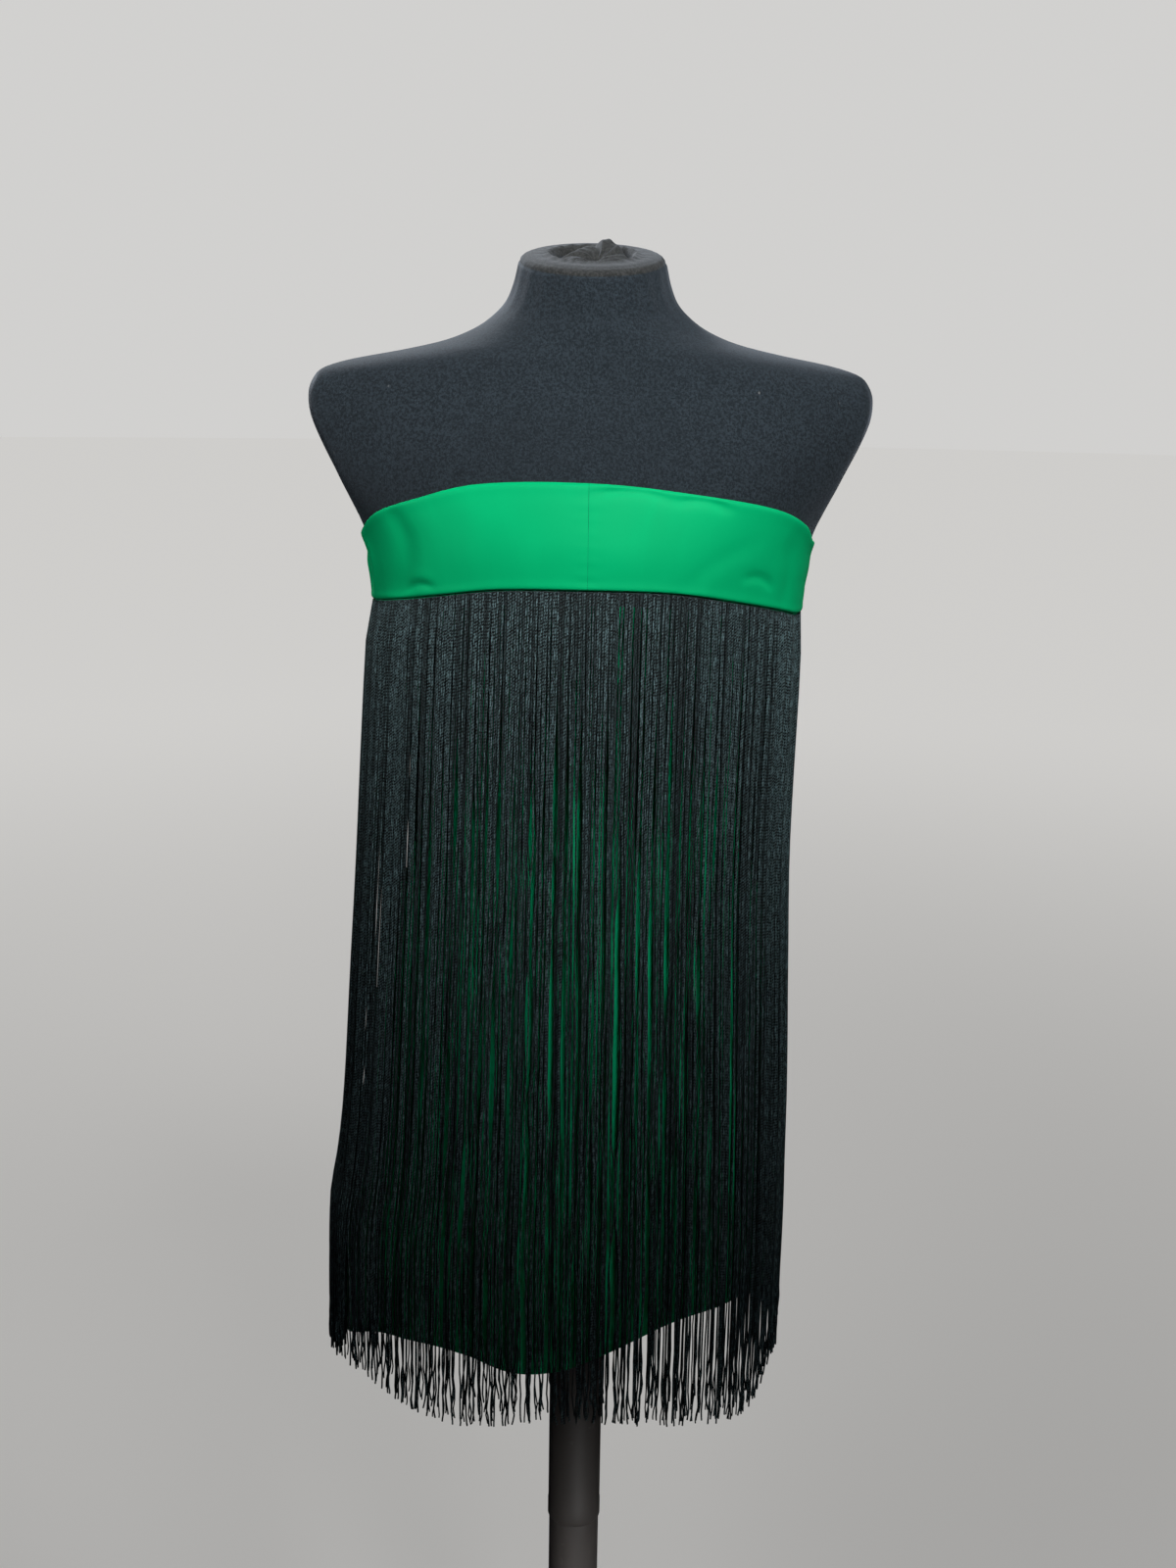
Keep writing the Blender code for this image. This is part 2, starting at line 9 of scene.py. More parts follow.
import bmesh
import bpy
import numpy as np
from bpy.props import FloatProperty, FloatVectorProperty, IntProperty, PointerProperty
from mathutils import Matrix, Vector


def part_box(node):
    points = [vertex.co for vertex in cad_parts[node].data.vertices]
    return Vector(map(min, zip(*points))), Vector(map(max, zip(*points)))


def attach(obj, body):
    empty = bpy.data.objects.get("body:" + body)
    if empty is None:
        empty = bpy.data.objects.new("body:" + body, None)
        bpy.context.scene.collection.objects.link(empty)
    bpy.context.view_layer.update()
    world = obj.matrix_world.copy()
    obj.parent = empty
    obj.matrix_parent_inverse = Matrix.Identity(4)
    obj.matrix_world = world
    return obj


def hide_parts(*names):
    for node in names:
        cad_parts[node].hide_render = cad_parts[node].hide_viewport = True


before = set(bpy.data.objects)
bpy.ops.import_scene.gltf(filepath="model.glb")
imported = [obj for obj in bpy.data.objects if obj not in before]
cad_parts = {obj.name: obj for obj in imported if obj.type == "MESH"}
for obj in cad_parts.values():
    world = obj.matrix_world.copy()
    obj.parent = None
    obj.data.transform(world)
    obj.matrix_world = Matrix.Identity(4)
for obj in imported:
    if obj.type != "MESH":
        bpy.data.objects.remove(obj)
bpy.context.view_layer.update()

bl_info = {
    "name": "Fringe dress on a dress form",
    "version": (1, 0, 0),
    "blender": (4, 5, 0),
    "location": "View3D > Sidebar > Dress",
    "description": "Builds the band, slip, rope fringe, jersey form and stand of a fringe dress",
    "category": "Object",
}

# The figure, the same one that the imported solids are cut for
SHOULDER_HEIGHT = 1.380
FORM_LENGTH = 0.580
NECK_LEAN = math.tan(math.radians(13.5))
NECK_HOLE_RADIUS = 0.0275
NECK_HOLE_DEPTH = 0.026
NECK_ROLL_RISE = 0.0012
SEAM_GAP = 0.0003
SEAM_TURN = 0.012
FALL_FULLNESS = 2.2

FigureRow = namedtuple("FigureRow", "drop half_width cut front back fullness lean")
FIGURE = [FigureRow(*row) for row in (
    (-0.070, 0.0505, 1.00, 0.0505, 0.0515, 2.00, 1.0),
    (-0.062, 0.0520, 1.00, 0.0525, 0.0535, 2.00, 1.0),
    (-0.050, 0.0550, 1.00, 0.0540, 0.0555, 2.00, 1.0),
    (-0.038, 0.0605, 1.00, 0.0555, 0.0580, 2.00, 0.8),
    (-0.028, 0.0705, 1.00, 0.0575, 0.0605, 2.00, 0.5),
    (-0.020, 0.0830, 1.00, 0.0590, 0.0625, 2.00, 0.3),
    (-0.012, 0.1035, 1.00, 0.0600, 0.0645, 2.00, 0.1),
    (-0.005, 0.1330, 1.01, 0.0610, 0.0665, 2.05, 0.0),
    (0.001, 0.1640, 1.02, 0.0625, 0.0690, 2.10, 0.0),
    (0.007, 0.1850, 1.04, 0.0640, 0.0715, 2.15, 0.0),
    (0.014, 0.1930, 1.07, 0.0660, 0.0740, 2.20, 0.0),
    (0.025, 0.1965, 1.10, 0.0700, 0.0790, 2.20, 0.0),
    (0.042, 0.1940, 1.11, 0.0770, 0.0860, 2.20, 0.0),
    (0.079, 0.1762, 1.09, 0.0930, 0.0960, 2.20, 0.0),
    (0.117, 0.1555, 1.05, 0.1035, 0.1000, 2.20, 0.0),
    (0.145, 0.1516, 1.01, 0.1065, 0.0990, 2.20, 0.0),
    (0.172, 0.1490, 1.00, 0.1055, 0.0950, 2.20, 0.0),
    (0.210, 0.1380, 1.00, 0.0985, 0.0880, 2.20, 0.0),
    (0.250, 0.1210, 1.00, 0.0900, 0.0810, 2.20, 0.0),
    (0.290, 0.1125, 1.00, 0.0855, 0.0790, 2.20, 0.0),
    (0.335, 0.1150, 1.00, 0.0865, 0.0840, 2.20, 0.0),
    (0.385, 0.1285, 1.00, 0.0920, 0.0940, 2.20, 0.0),
    (0.435, 0.1395, 1.00, 0.0975, 0.1030, 2.20, 0.0),
    (0.490, 0.1465, 1.00, 0.1005, 0.1075, 2.20, 0.0),
    (0.540, 0.1485, 1.00, 0.1005, 0.1065, 2.20, 0.0),
    (0.580, 0.1490, 1.00, 0.1000, 0.1050, 2.20, 0.0),
    (0.800, 0.1490, 1.00, 0.1000, 0.1050, 2.20, 0.0),
)]

# Drops of the band's edges, the slip's hem and the fringe's ends, round the figure
EdgeRow = namedtuple("EdgeRow", "azimuth band_top band_bottom hem fringe_end")
EDGES = [EdgeRow(*row) for row in (
    (-180.0, 0.1100, 0.1690, 0.7180, 0.772),
    (-140.0, 0.1130, 0.1695, 0.7230, 0.770),
    (-105.0, 0.1215, 0.1690, 0.7310, 0.760),
    (-75.0, 0.1190, 0.1650, 0.7310, 0.750),
    (-52.0, 0.1010, 0.1592, 0.7130, 0.743),
    (-37.0, 0.0913, 0.1541, 0.7065, 0.755),
    (-20.0, 0.0802, 0.1485, 0.7108, 0.762),
    (0.0, 0.0783, 0.1474, 0.7200, 0.755),
    (20.0, 0.0850, 0.1494, 0.6955, 0.760),
    (42.0, 0.0950, 0.1579, 0.6820, 0.772),
    (57.0, 0.1060, 0.1641, 0.6845, 0.774),
    (72.0, 0.1195, 0.1700, 0.6910, 0.745),
    (105.0, 0.1180, 0.1710, 0.7020, 0.746),
    (140.0, 0.1150, 0.1700, 0.7120, 0.768),
    (180.0, 0.1100, 0.1690, 0.7180, 0.772),
)]

SlipRow = namedtuple("SlipRow", "drop swing side front back folds")
SLIP = [SlipRow(*row) for row in (
    (0.140, 0.0000, 0.0010, 0.0010, 0.0010, 0.00),
    (0.185, 0.0000, 0.0014, 0.0014, 0.0014, 0.00),
    (0.212, 0.0000, 0.0022, 0.0056, 0.0030, 0.10),
    (0.250, 0.0000, 0.0030, 0.0124, 0.0070, 0.25),
    (0.292, -0.0003, 0.0034, 0.0162, 0.0100, 0.32),
    (0.350, -0.0015, 0.0040, 0.0160, 0.0090, 0.40),
    (0.430, -0.0028, 0.0046, 0.0092, 0.0042, 0.50),
    (0.515, -0.0050, 0.0066, 0.0066, 0.0034, 0.60),
    (0.585, -0.0070, 0.0086, 0.0080, 0.0060, 0.76),
    (0.640, -0.0160, 0.0110, 0.0088, 0.0070, 0.88),
    (0.740, -0.0200, 0.0128, 0.0095, 0.0080, 1.00),
)]

# The slip's soft folds as ridges: azimuth at the hem, depth, and half width in degrees
FoldRow = namedtuple("FoldRow", "azimuth depth width")
FOLDS = [FoldRow(*row) for row in (
    (-168.0, 0.0042, 9.0),
    (-141.0, 0.0034, 8.0),
    (-118.0, 0.0046, 8.5),
    (-92.0, 0.0030, 9.0),
    (-64.0, 0.0046, 8.0),
    (-38.0, 0.0036, 7.5),
    (-9.0, 0.0050, 8.5),
    (17.0, 0.0034, 7.0),
    (45.0, 0.0046, 8.0),
    (74.0, 0.0038, 9.0),
    (101.0, 0.0044, 8.0),
    (126.0, 0.0032, 7.5),
    (153.0, 0.0048, 8.5),
)]

# The surface that the fringe falls along
FallRow = namedtuple("FallRow", "drop swing half_width front back")
FALL = [FallRow(*row) for row in (
    (0.150, -0.0010, 0.1545, 0.1105, 0.1010),
    (0.215, -0.0030, 0.1560, 0.1110, 0.1010),
    (0.290, -0.0060, 0.1575, 0.1120, 0.1035),
    (0.360, -0.0082, 0.1593, 0.1134, 0.1105),
    (0.435, -0.0095, 0.1630, 0.1150, 0.1180),
    (0.540, -0.0112, 0.1680, 0.1174, 0.1220),
    (0.586, -0.0134, 0.1707, 0.1188, 0.1222),
    (0.630, -0.0166, 0.1746, 0.1202, 0.1224),
    (0.740, -0.0180, 0.1755, 0.1220, 0.1230),
    (0.840, -0.0180, 0.1755, 0.1220, 0.1230),
)]

# Creases in cloth, each a soft line from one place to another: azimuths in degrees, drops,
# height out of the cloth (a trough is negative) and half width
Crease = namedtuple("Crease", "azimuth_a drop_a azimuth_b drop_b height width")
BAND_CREASES = [Crease(*row) for row in (
    (1.0, 0.0838, 14.0, 0.0872, -0.0018, 0.0032),
    (16.0, 0.0888, 28.0, 0.0940, -0.0020, 0.0034),
    (3.0, 0.0800, 28.0, 0.0905, 0.0009, 0.0024),
    (-50.0, 0.1525, -40.0, 0.1485, -0.0012, 0.0024),
    (-48.0, 0.1450, -38.0, 0.1435, 0.0003, 0.0035),
    (-45.0, 0.0980, -57.0, 0.1620, -0.0017, 0.0090),
    (-36.0, 0.0980, -45.0, 0.1500, 0.0007, 0.0100),
    (-68.0, 0.1180, -73.0, 0.1600, 0.0010, 0.0055),
    (-78.0, 0.1220, -76.0, 0.1540, -0.0013, 0.0055),
    (40.0, 0.1400, 51.0, 0.1465, -0.0016, 0.0030),
    (22.0, 0.1480, 39.0, 0.1190, -0.0006, 0.0070),
    (27.0, 0.1500, 45.0, 0.1240, 0.0002, 0.0070),
    (53.0, 0.1180, 60.0, 0.1600, -0.0009, 0.0080),
    (-22.0, 0.0880, -30.0, 0.1350, 0.0005, 0.0110),
    (-8.0, 0.1180, 10.0, 0.1320, 0.0004, 0.0120),
    (84.0, 0.1300, 80.0, 0.1650, -0.0011, 0.0040),
    (96.0, 0.1300, 104.0, 0.1660, 0.0010, 0.0050),
    (118.0, 0.1240, 132.0, 0.1300, -0.0011, 0.0040),
    (142.0, 0.1560, 158.0, 0.1440, -0.0009, 0.0055),
    (168.0, 0.1180, 186.0, 0.1200, -0.0009, 0.0036),
    (196.0, 0.1580, 210.0, 0.1420, -0.0010, 0.0050),
    (222.0, 0.1220, 236.0, 0.1300, -0.0012, 0.0042),
    (250.0, 0.1300, 258.0, 0.1640, 0.0009, 0.0055),
)]
SLIP_CREASES = [Crease(*row) for row in (
    (-34.0, 0.30, -6.0, 0.50, 0.0014, 0.009),
    (-20.0, 0.28, 8.0, 0.40, -0.0012, 0.008),
    (22.0, 0.27, 4.0, 0.46, 0.0014, 0.009),
    (40.0, 0.30, 16.0, 0.52, -0.0012, 0.010),
    (30.0, 0.44, 48.0, 0.60, 0.0014, 0.010),
    (12.0, 0.52, 36.0, 0.64, -0.0012, 0.009),
    (-48.0, 0.50, -30.0, 0.68, 0.0013, 0.010),
    (-66.0, 0.34, -48.0, 0.52, -0.0012, 0.010),
    (62.0, 0.34, 76.0, 0.50, 0.0012, 0.010),
    (-6.0, 0.56, -16.0, 0.70, -0.0012, 0.008),
    (112.0, 0.30, 140.0, 0.46, 0.0013, 0.010),
    (150.0, 0.28, 130.0, 0.44, -0.0012, 0.009),
    (172.0, 0.30, 196.0, 0.50, 0.0014, 0.010),
    (214.0, 0.29, 190.0, 0.44, -0.0012, 0.009),
    (236.0, 0.34, 222.0, 0.54, 0.0013, 0.010),
    (160.0, 0.54, 178.0, 0.68, 0.0013, 0.010),
    (206.0, 0.56, 226.0, 0.69, -0.0011, 0.009),
)]
# The mean radius round which azimuths are turned into lengths of cloth
MEAN_RADIUS = 0.134

# Colours that no size or colour of the panel changes
# Jersey above the neck's seam: warmer and lighter, partly its nap and partly painted light on the
# upturned top
PAINTED_LIT_JERSEY = ((0.021, 0.021, 0.019, 1.0), (0.043, 0.043, 0.040, 1.0))
PALE_LINT = (0.30, 0.30, 0.30, 1.0)
PALE_DUST = (0.22, 0.20, 0.19, 1.0)
SATIN_SHEEN_TINT = (0.5, 1.0, 0.7, 1.0)
JERSEY_SHEEN_TINT = (0.75, 0.85, 1.0, 1.0)

# Pitches of the rope's twist and of the header tape's ribs
ROPE_TWIST_PITCH = 0.0022
TAPE_RIB_PITCH = 0.0015

# The camera: level with the shoulders, tipped down and a little askew, as the photo is
CAMERA_LENS = 40.5
CAMERA_SIDE = 0.0024
CAMERA_DISTANCE = 1.265
CAMERA_HEIGHT = 1.380
CAMERA_TIP = math.radians(13.5)
CAMERA_ROLL = math.radians(0.9)


class DressSizes(bpy.types.PropertyGroup):
    """Sizes of the cloth, the rope fringe and the stand."""

    band_inner: FloatProperty(
        name="Band inner", description="From the figure to the band's inner face",
        default=0.0010, unit="LENGTH")
    band_outer: FloatProperty(
        name="Band outer", description="From the figure to the band's outer face",
        default=0.0037, unit="LENGTH")
    band_fold: FloatProperty(
        name="Band fold", description="Radius of the band's folded edges",
        default=0.0016, unit="LENGTH")
    slip_thickness: FloatProperty(
        name="Slip thickness", description="Thickness of the satin slip's cloth",
        default=0.0008, unit="LENGTH")
    hem_depth: FloatProperty(
        name="Hem depth", description="Height of the slip's turned-up hem",
        default=0.011, unit="LENGTH")
    rope_radius: FloatProperty(
        name="Rope radius", description="Radius of one rope of the fringe",
        default=0.00080, unit="LENGTH")
    rope_count: IntProperty(
        name="Ropes in a layer", description="Ropes in each layer of each half of the fringe",
        default=244, min=20)
    rope_points: IntProperty(
        name="Points along a rope", description="Points along each rope", default=32, min=6)
    tape_height: FloatProperty(
        name="Tape height", description="Height of the header tape that the ropes hang from",
        default=0.009, unit="LENGTH")
    pole_radius: FloatProperty(
        name="Lower pole radius", description="Outer radius of the lower pole",
        default=0.0200, unit="LENGTH")
    pole_joint: FloatProperty(
        name="Pole joint", description="Height where the two poles meet",
        default=0.464, unit="LENGTH")


class DressColours(bpy.types.PropertyGroup):
    """Colours of the cloth, the fringe, the form and the stand."""

    band: FloatVectorProperty(
        name="Band", description="Green of the folded band", subtype="COLOR",
        default=(0.000, 0.420, 0.150), min=0.0, max=1.0)
    slip: FloatVectorProperty(
        name="Slip", description="Green of the satin slip", subtype="COLOR",
        default=(0.002, 0.600, 0.245), min=0.0, max=1.0)
    rope: FloatVectorProperty(
        name="Rope", description="Black of the rope fringe", subtype="COLOR",
        default=(0.0340, 0.0550, 0.0590), min=0.0, max=1.0)
    jersey: FloatVectorProperty(
        name="Jersey", description="Charcoal of the form's jersey", subtype="COLOR",
        default=(0.019, 0.027, 0.034), min=0.0, max=1.0)
    stand: FloatVectorProperty(
        name="Stand", description="Black of the pole and foot", subtype="COLOR",
        default=(0.032, 0.028, 0.026), min=0.0, max=1.0)
    floor: FloatVectorProperty(
        name="Floor", description="Pale floor", subtype="COLOR",
        default=(0.80, 0.79, 0.77), min=0.0, max=1.0)


class Wire:
    """A node's output, on which sums are written as plain expressions."""

    def __init__(self, graph, socket):
        self.graph = graph
        self.socket = socket

    def sum_node(self, operation, *values):
        inputs = dict(enumerate(values))
        return self.graph.add("ShaderNodeMath", {"operation": operation}, inputs)[0]

    def __add__(self, other):
        return self.sum_node("ADD", self, other)

    __radd__ = __add__

    def __sub__(self, other):
        return self.sum_node("SUBTRACT", self, other)

    def __rsub__(self, other):
        return self.sum_node("SUBTRACT", other, self)

    def __mul__(self, other):
        return self.sum_node("MULTIPLY", self, other)

    __rmul__ = __mul__

    def __truediv__(self, other):
        return self.sum_node("DIVIDE", self, other)

    def __pow__(self, other):
        return self.sum_node("POWER", self, other)

    def sine(self):
        return self.sum_node("SINE", self)

    def cosine(self):
        return self.sum_node("COSINE", self)

    def rise(self, low, high):
        """From 0 at low to 1 at high, with soft ends."""
        return self.graph.add("ShaderNodeMapRange", {"interpolation_type": "SMOOTHSTEP"},
                              {"Value": self, "From Min": low, "From Max": high})[0]


class Made:
    """A node that was added, whose outputs are read by name or index."""

    def __init__(self, graph, node):
        self.graph = graph
        self.node = node

    def __getitem__(self, key):
        return Wire(self.graph, self.node.outputs[key])


class Graph:
    """A node tree with one way to add any node."""

    def __init__(self, tree):
        self.tree = tree

    def add(self, kind, settings=None, inputs=None):
        node = self.tree.nodes.new(kind)
        for name, value in (settings or {}).items():
            setattr(node, name, value)
        for key, value in (inputs or {}).items():
            if isinstance(value, Wire):
                self.tree.links.new(value.socket, node.inputs[key])
            else:
                node.inputs[key].default_value = value
        return Made(self, node)

    def mix(self, share, first, second):
        """A colour between two."""
        return self.add("ShaderNodeMix", {"data_type": "RGBA"}, {0: share, 6: first, 7: second})[2]

    def stretch(self, vector, scale):
        """A place scaled along each axis."""
        return self.add("ShaderNodeVectorMath", {"operation": "MULTIPLY"},
                        {0: vector, 1: scale})[0]

    def noise(self, vector, scale, detail=2.0, roughness=0.5):
        return self.add("ShaderNodeTexNoise", None,
                        {"Vector": vector, "Scale": scale, "Detail": detail,
                         "Roughness": roughness})[0]

    def bump(self, height, strength, distance, normal=None):
        inputs = {"Height": height, "Strength": strength, "Distance": distance}
        if normal is not None:
            inputs["Normal"] = normal
        return self.add("ShaderNodeBump", None, inputs)[0]

    def vector(self, x, y, z=0.0):
        return self.add("ShaderNodeCombineXYZ", None, {0: x, 1: y, 2: z})[0]

    def fibre(self, name, output="Fac"):
        """A value that a piece carries on its points."""
        return self.add("ShaderNodeAttribute", {"attribute_name": name})[output]

    def place(self):
        return self.add("ShaderNodeTexCoord")["Object"]

    def cloth_place(self):
        """The cloth's own UV map, in metres round and down the cloth."""
        return self.add("ShaderNodeUVMap", {"uv_map": "cloth"})["UV"]


def shade(colour, share, alpha=1.0):
    """A colour made darker or lighter."""
    return (*(min(1.0, channel * share) for channel in colour), alpha)


def new_finish(name, fixed, varying):
    """A material: fixed holds its shader's constants, varying makes what changes over it."""
    material = bpy.data.materials.new(name)
    material.use_nodes = True
    graph = Graph(material.node_tree)
    shader = material.node_tree.nodes["Principled BSDF"]
    for key, value in fixed.items():
        shader.inputs[key].default_value = value
    for key, wire in varying(graph).items():
        material.node_tree.links.new(wire.socket, shader.inputs[key])
    return material


def satin_finish(name, colour, roughness, sheen, gloss):
    """Satin: long fine floats of thread, a soft uneven gloss and faint rubbed streaks."""
    def varying(graph):
        cloth = graph.cloth_place()
        threads = graph.noise(graph.stretch(cloth, (2600.0, 420.0, 1.0)), 1.0, 3.0, 0.6)
        streaks = graph.noise(graph.stretch(cloth, (90.0, 14.0, 1.0)), 1.0, 3.0, 0.55)
        clouds = graph.noise(graph.stretch(cloth, (12.0, 12.0, 1.0)), 1.0, 2.0)
        tone = graph.mix(clouds.rise(0.3, 0.7), shade(colour, 0.94), shade(colour, 1.05))
        tone = graph.mix(streaks.rise(0.45, 0.8) * 0.30, tone, shade(colour, 1.12))
        tone = graph.mix(threads.rise(0.50, 0.75) * 0.22, tone, shade(colour, 0.80))
        height = threads * 0.5 + streaks * 0.5
        return {
            "Base Color": tone,
            "Roughness": roughness + (streaks - 0.5) * 0.22,
            "Normal": graph.bump(height, 0.12, 0.0004),
        }
    fixed = {"Sheen Weight": sheen, "Sheen Roughness": 0.4, "Sheen Tint": SATIN_SHEEN_TINT,
             "Specular IOR Level": gloss}
    return new_finish(name, fixed, varying)


def rope_finish(name, colour):
    """Chain-stitched rayon rope: a twist round each rope, with painted highlights on its ridges
    and painted glints.
    """
    def varying(graph):
        turn = graph.add("ShaderNodeSeparateXYZ", None, {0: graph.fibre("rope_turn", "Vector")})
        along = graph.fibre("rope_along")
        strand = graph.fibre("rope_tone")
        painted_shade = graph.fibre("rope_painted_shade")
        phase = along * (2.0 * math.pi / ROPE_TWIST_PITCH) + strand * 61.0
        twist = turn["X"] * phase.cosine() + turn["Y"] * phase.sine()
        place = graph.place()
        painted_glints = graph.noise(graph.stretch(place, (1500.0, 1500.0, 250.0)), 1.0, 2.0, 0.6)
        patches = graph.noise(graph.stretch(place, (60.0, 60.0, 9.0)), 1.0, 2.0)
        # Painted highlights: the twist's ridges and the glints are painted as bright specks along
        # each rope, far lighter than its black
        thread = twist.rise(0.0, 0.9) * 0.50 + painted_glints.rise(0.50, 0.66) * 0.85
        tone = graph.mix(thread, shade(colour, 0.06), shade(colour, 4.4))
        tone = graph.mix(patches.rise(0.35, 0.75) * 0.22, tone, shade(colour, 0.6))
        tone = graph.mix(strand.rise(0.60, 0.85) * 0.65, tone, shade(colour, 0.10))
        # Painted shade: ropes of the inner layer are coloured darker, as if in the outer layer's
        # shadow
        tone = graph.mix(painted_shade, tone, shade(colour, 0.10))
        return {
            "Base Color": tone,
            "Roughness": 0.60 - thread * 0.16,
            "Normal": graph.bump(twist * 0.5 + painted_glints * 0.35, 0.6, 0.0003),
        }
    return new_finish(name, {"Specular IOR Level": 0.26}, varying)


def jersey_finish(name, colour):
    """Matt knitted jersey with fine wales, a short nap and a little pale lint. Above the neck's
    seam its nap lies the other way, and painted light makes that upturned top lighter and warmer."""
    seam_height = SHOULDER_HEIGHT - DRESS_OT_form.rim_seam

    def varying(graph):
        place = graph.place()
        split = graph.add("ShaderNodeSeparateXYZ", None, {0: place})
        above = (split["Z"] - split["Y"] * NECK_LEAN - seam_height).rise(-0.0004, 0.0006)
        wales = graph.noise(graph.stretch(place, (1500.0, 1500.0, 500.0)), 1.0, 3.0, 0.6)
        nap = graph.noise(place, 520.0, 3.0, 0.7)
        wear = graph.noise(place, 16.0, 3.0)
        fluff = graph.add("ShaderNodeTexVoronoi", None,
                          {"Vector": graph.stretch(place, (1.0, 1.0, 0.6)), "Scale": 70.0})
        sparse = graph.noise(place, 31.0).rise(0.58, 0.62)
        lint = (1.0 - fluff["Distance"].rise(0.0, 0.07)) * sparse
        tone = graph.mix(wear.rise(0.3, 0.7), shade(colour, 0.90), shade(colour, 1.12))
        tone = graph.mix(nap.rise(0.40, 0.62), shade(colour, 0.45), tone)
        tone = graph.mix(wales.rise(0.5, 0.75) * 0.5, tone, shade(colour, 2.1))
        # Painted light: above the neck's seam the jersey is lighter and warmer, partly for its nap
        # and partly as light on the upturned top
        painted_lit_top = graph.mix(nap.rise(0.40, 0.62), *PAINTED_LIT_JERSEY)
        tone = graph.mix(above * 0.8, tone, painted_lit_top)
        tone = graph.mix(lint * 0.5, tone, PALE_LINT)
        return {
            "Base Color": tone,
            "Normal": graph.bump(wales * 0.6 + nap * 0.6, 0.35, 0.0006),
        }
    fixed = {"Roughness": 0.95, "Specular IOR Level": 0.15, "Sheen Weight": 0.16,
             "Sheen Roughness": 0.5, "Sheen Tint": JERSEY_SHEEN_TINT}
    return new_finish(name, fixed, varying)


def stand_finish(name, colour):
    """Satin black paint with a fine grain, rubbed marks and a little dust."""
    def varying(graph):
        place = graph.place()
        grain = graph.noise(place, 700.0, 2.0)
        rubs = graph.noise(graph.stretch(place, (60.0, 60.0, 5.0)), 1.0, 4.0, 0.6)
        dust = graph.noise(place, 90.0, 4.0, 0.7)
        tone = graph.mix(rubs.rise(0.45, 0.75) * 0.5, shade(colour, 1.0), shade(colour, 1.6))
        tone = graph.mix(dust.rise(0.62, 0.72) * 0.12, tone, PALE_DUST)
        return {
            "Base Color": tone,
            "Roughness": 0.60 + rubs * 0.10 + dust.rise(0.55, 0.75) * 0.10,
            "Normal": graph.bump(grain, 0.10, 0.0002),
        }
    return new_finish(name, {"Specular IOR Level": 0.35}, varying)


def tape_finish(name, colour):
    """Woven header tape with upright ribs."""
    def varying(graph):
        cloth = graph.add("ShaderNodeSeparateXYZ", None, {0: graph.cloth_place()})
        ribs = (cloth["X"] * (2.0 * math.pi / TAPE_RIB_PITCH)).sine()
        fibres = graph.noise(graph.place(), 800.0, 2.0)
        tone = graph.mix(ribs.rise(-0.6, 0.8), shade(colour, 0.4), shade(colour, 1.2))
        return {
            "Base Color": tone,
            "Normal": graph.bump(ribs * 0.5 + fibres * 0.3, 0.5, 0.0004),
        }
    return new_finish(name, {"Roughness": 0.8}, varying)


def floor_finish(name, colour):
    """Pale matt floor that glows, with painted shade darker round the stand and painted light
    paler far off.
    """
    def varying(graph):
        place = graph.place()
        away = graph.add("ShaderNodeVectorMath", {"operation": "LENGTH"}, {0: place})["Value"]
        clouds = graph.noise(place, 1.2, 2.0)
        # Painted shade: the floor's colour is darker near the stand and paler far off
        tone = graph.mix(away.rise(0.3, 7.0), shade(colour, 0.62), shade(colour, 1.1))
        # Painted light: the floor glows, dimly near the stand and brighter far off
        painted_glow = graph.mix(away.rise(0.2, 6.0), shade(colour, 0.45), shade(colour, 0.765))
        return {"Base Color": graph.mix(clouds.rise(0.3, 0.7) * 0.05, tone, shade(colour, 0.9)),
                "Emission Color": painted_glow}
    return new_finish(name, {"Roughness": 0.9, "Specular IOR Level": 0.05,
                             "Emission Strength": 1.0}, varying)


FINISHES = {}


def finish_for(name):
    """Each finish is made once, from the scene's colours."""
    if name not in FINISHES:
        colours = bpy.context.scene.dress_colours
        makers = {
            "band": lambda: satin_finish("band_satin_cloth", colours.band, 0.55, 0.02, 0.05),
            "slip": lambda: satin_finish("slip_satin_cloth", colours.slip, 0.28, 0.02, 0.55),
            "rope": lambda: rope_finish("fringe_rope_thread", colours.rope),
            "tape": lambda: tape_finish("fringe_tape_weave", colours.rope),
            "jersey": lambda: jersey_finish("form_jersey_knit", colours.jersey),
            "stand": lambda: stand_finish("stand_black_paint", colours.stand),
            "floor": lambda: floor_finish("pale_floor", colours.floor),
        }
        FINISHES[name] = makers[name]()
    return FINISHES[name]


def row_values(rows, keys):
    """The columns of a table at the keys, on smooth curves through its rows."""
    table = np.array(rows, dtype=float)
    places, values = table[:, 0], table[:, 1:]
    slopes = np.empty_like(values)
    slopes[1:-1] = (values[2:] - values[:-2]) / (places[2:] - places[:-2])[:, None]
    slopes[0] = (values[1] - values[0]) / (places[1] - places[0])
    slopes[-1] = (values[-1] - values[-2]) / (places[-1] - places[-2])
    keys = np.clip(np.asarray(keys, dtype=float), places[0], places[-1])
    low = np.clip(np.searchsorted(places, keys, side="right") - 1, 0, len(places) - 2)
    span = (places[low + 1] - places[low])[..., None]
    t = (keys - places[low])[..., None] / span
    rise = values[low + 1] - values[low]
    start, end = slopes[low] * span, slopes[low + 1] * span
    found = values[low] + start * t + (3 * rise - 2 * start - end) * t ** 2
    found = found + (start + end - 2 * rise) * t ** 3
    return type(rows[0])(keys, *np.moveaxis(found, -1, 0))


def turned_in(azimuth):
    """Azimuths brought to between -180 and 180."""
    return (np.asarray(azimuth, dtype=float) + 180.0) % 360.0 - 180.0


def edges_at(azimuth):
    return row_values(EDGES, turned_in(azimuth))


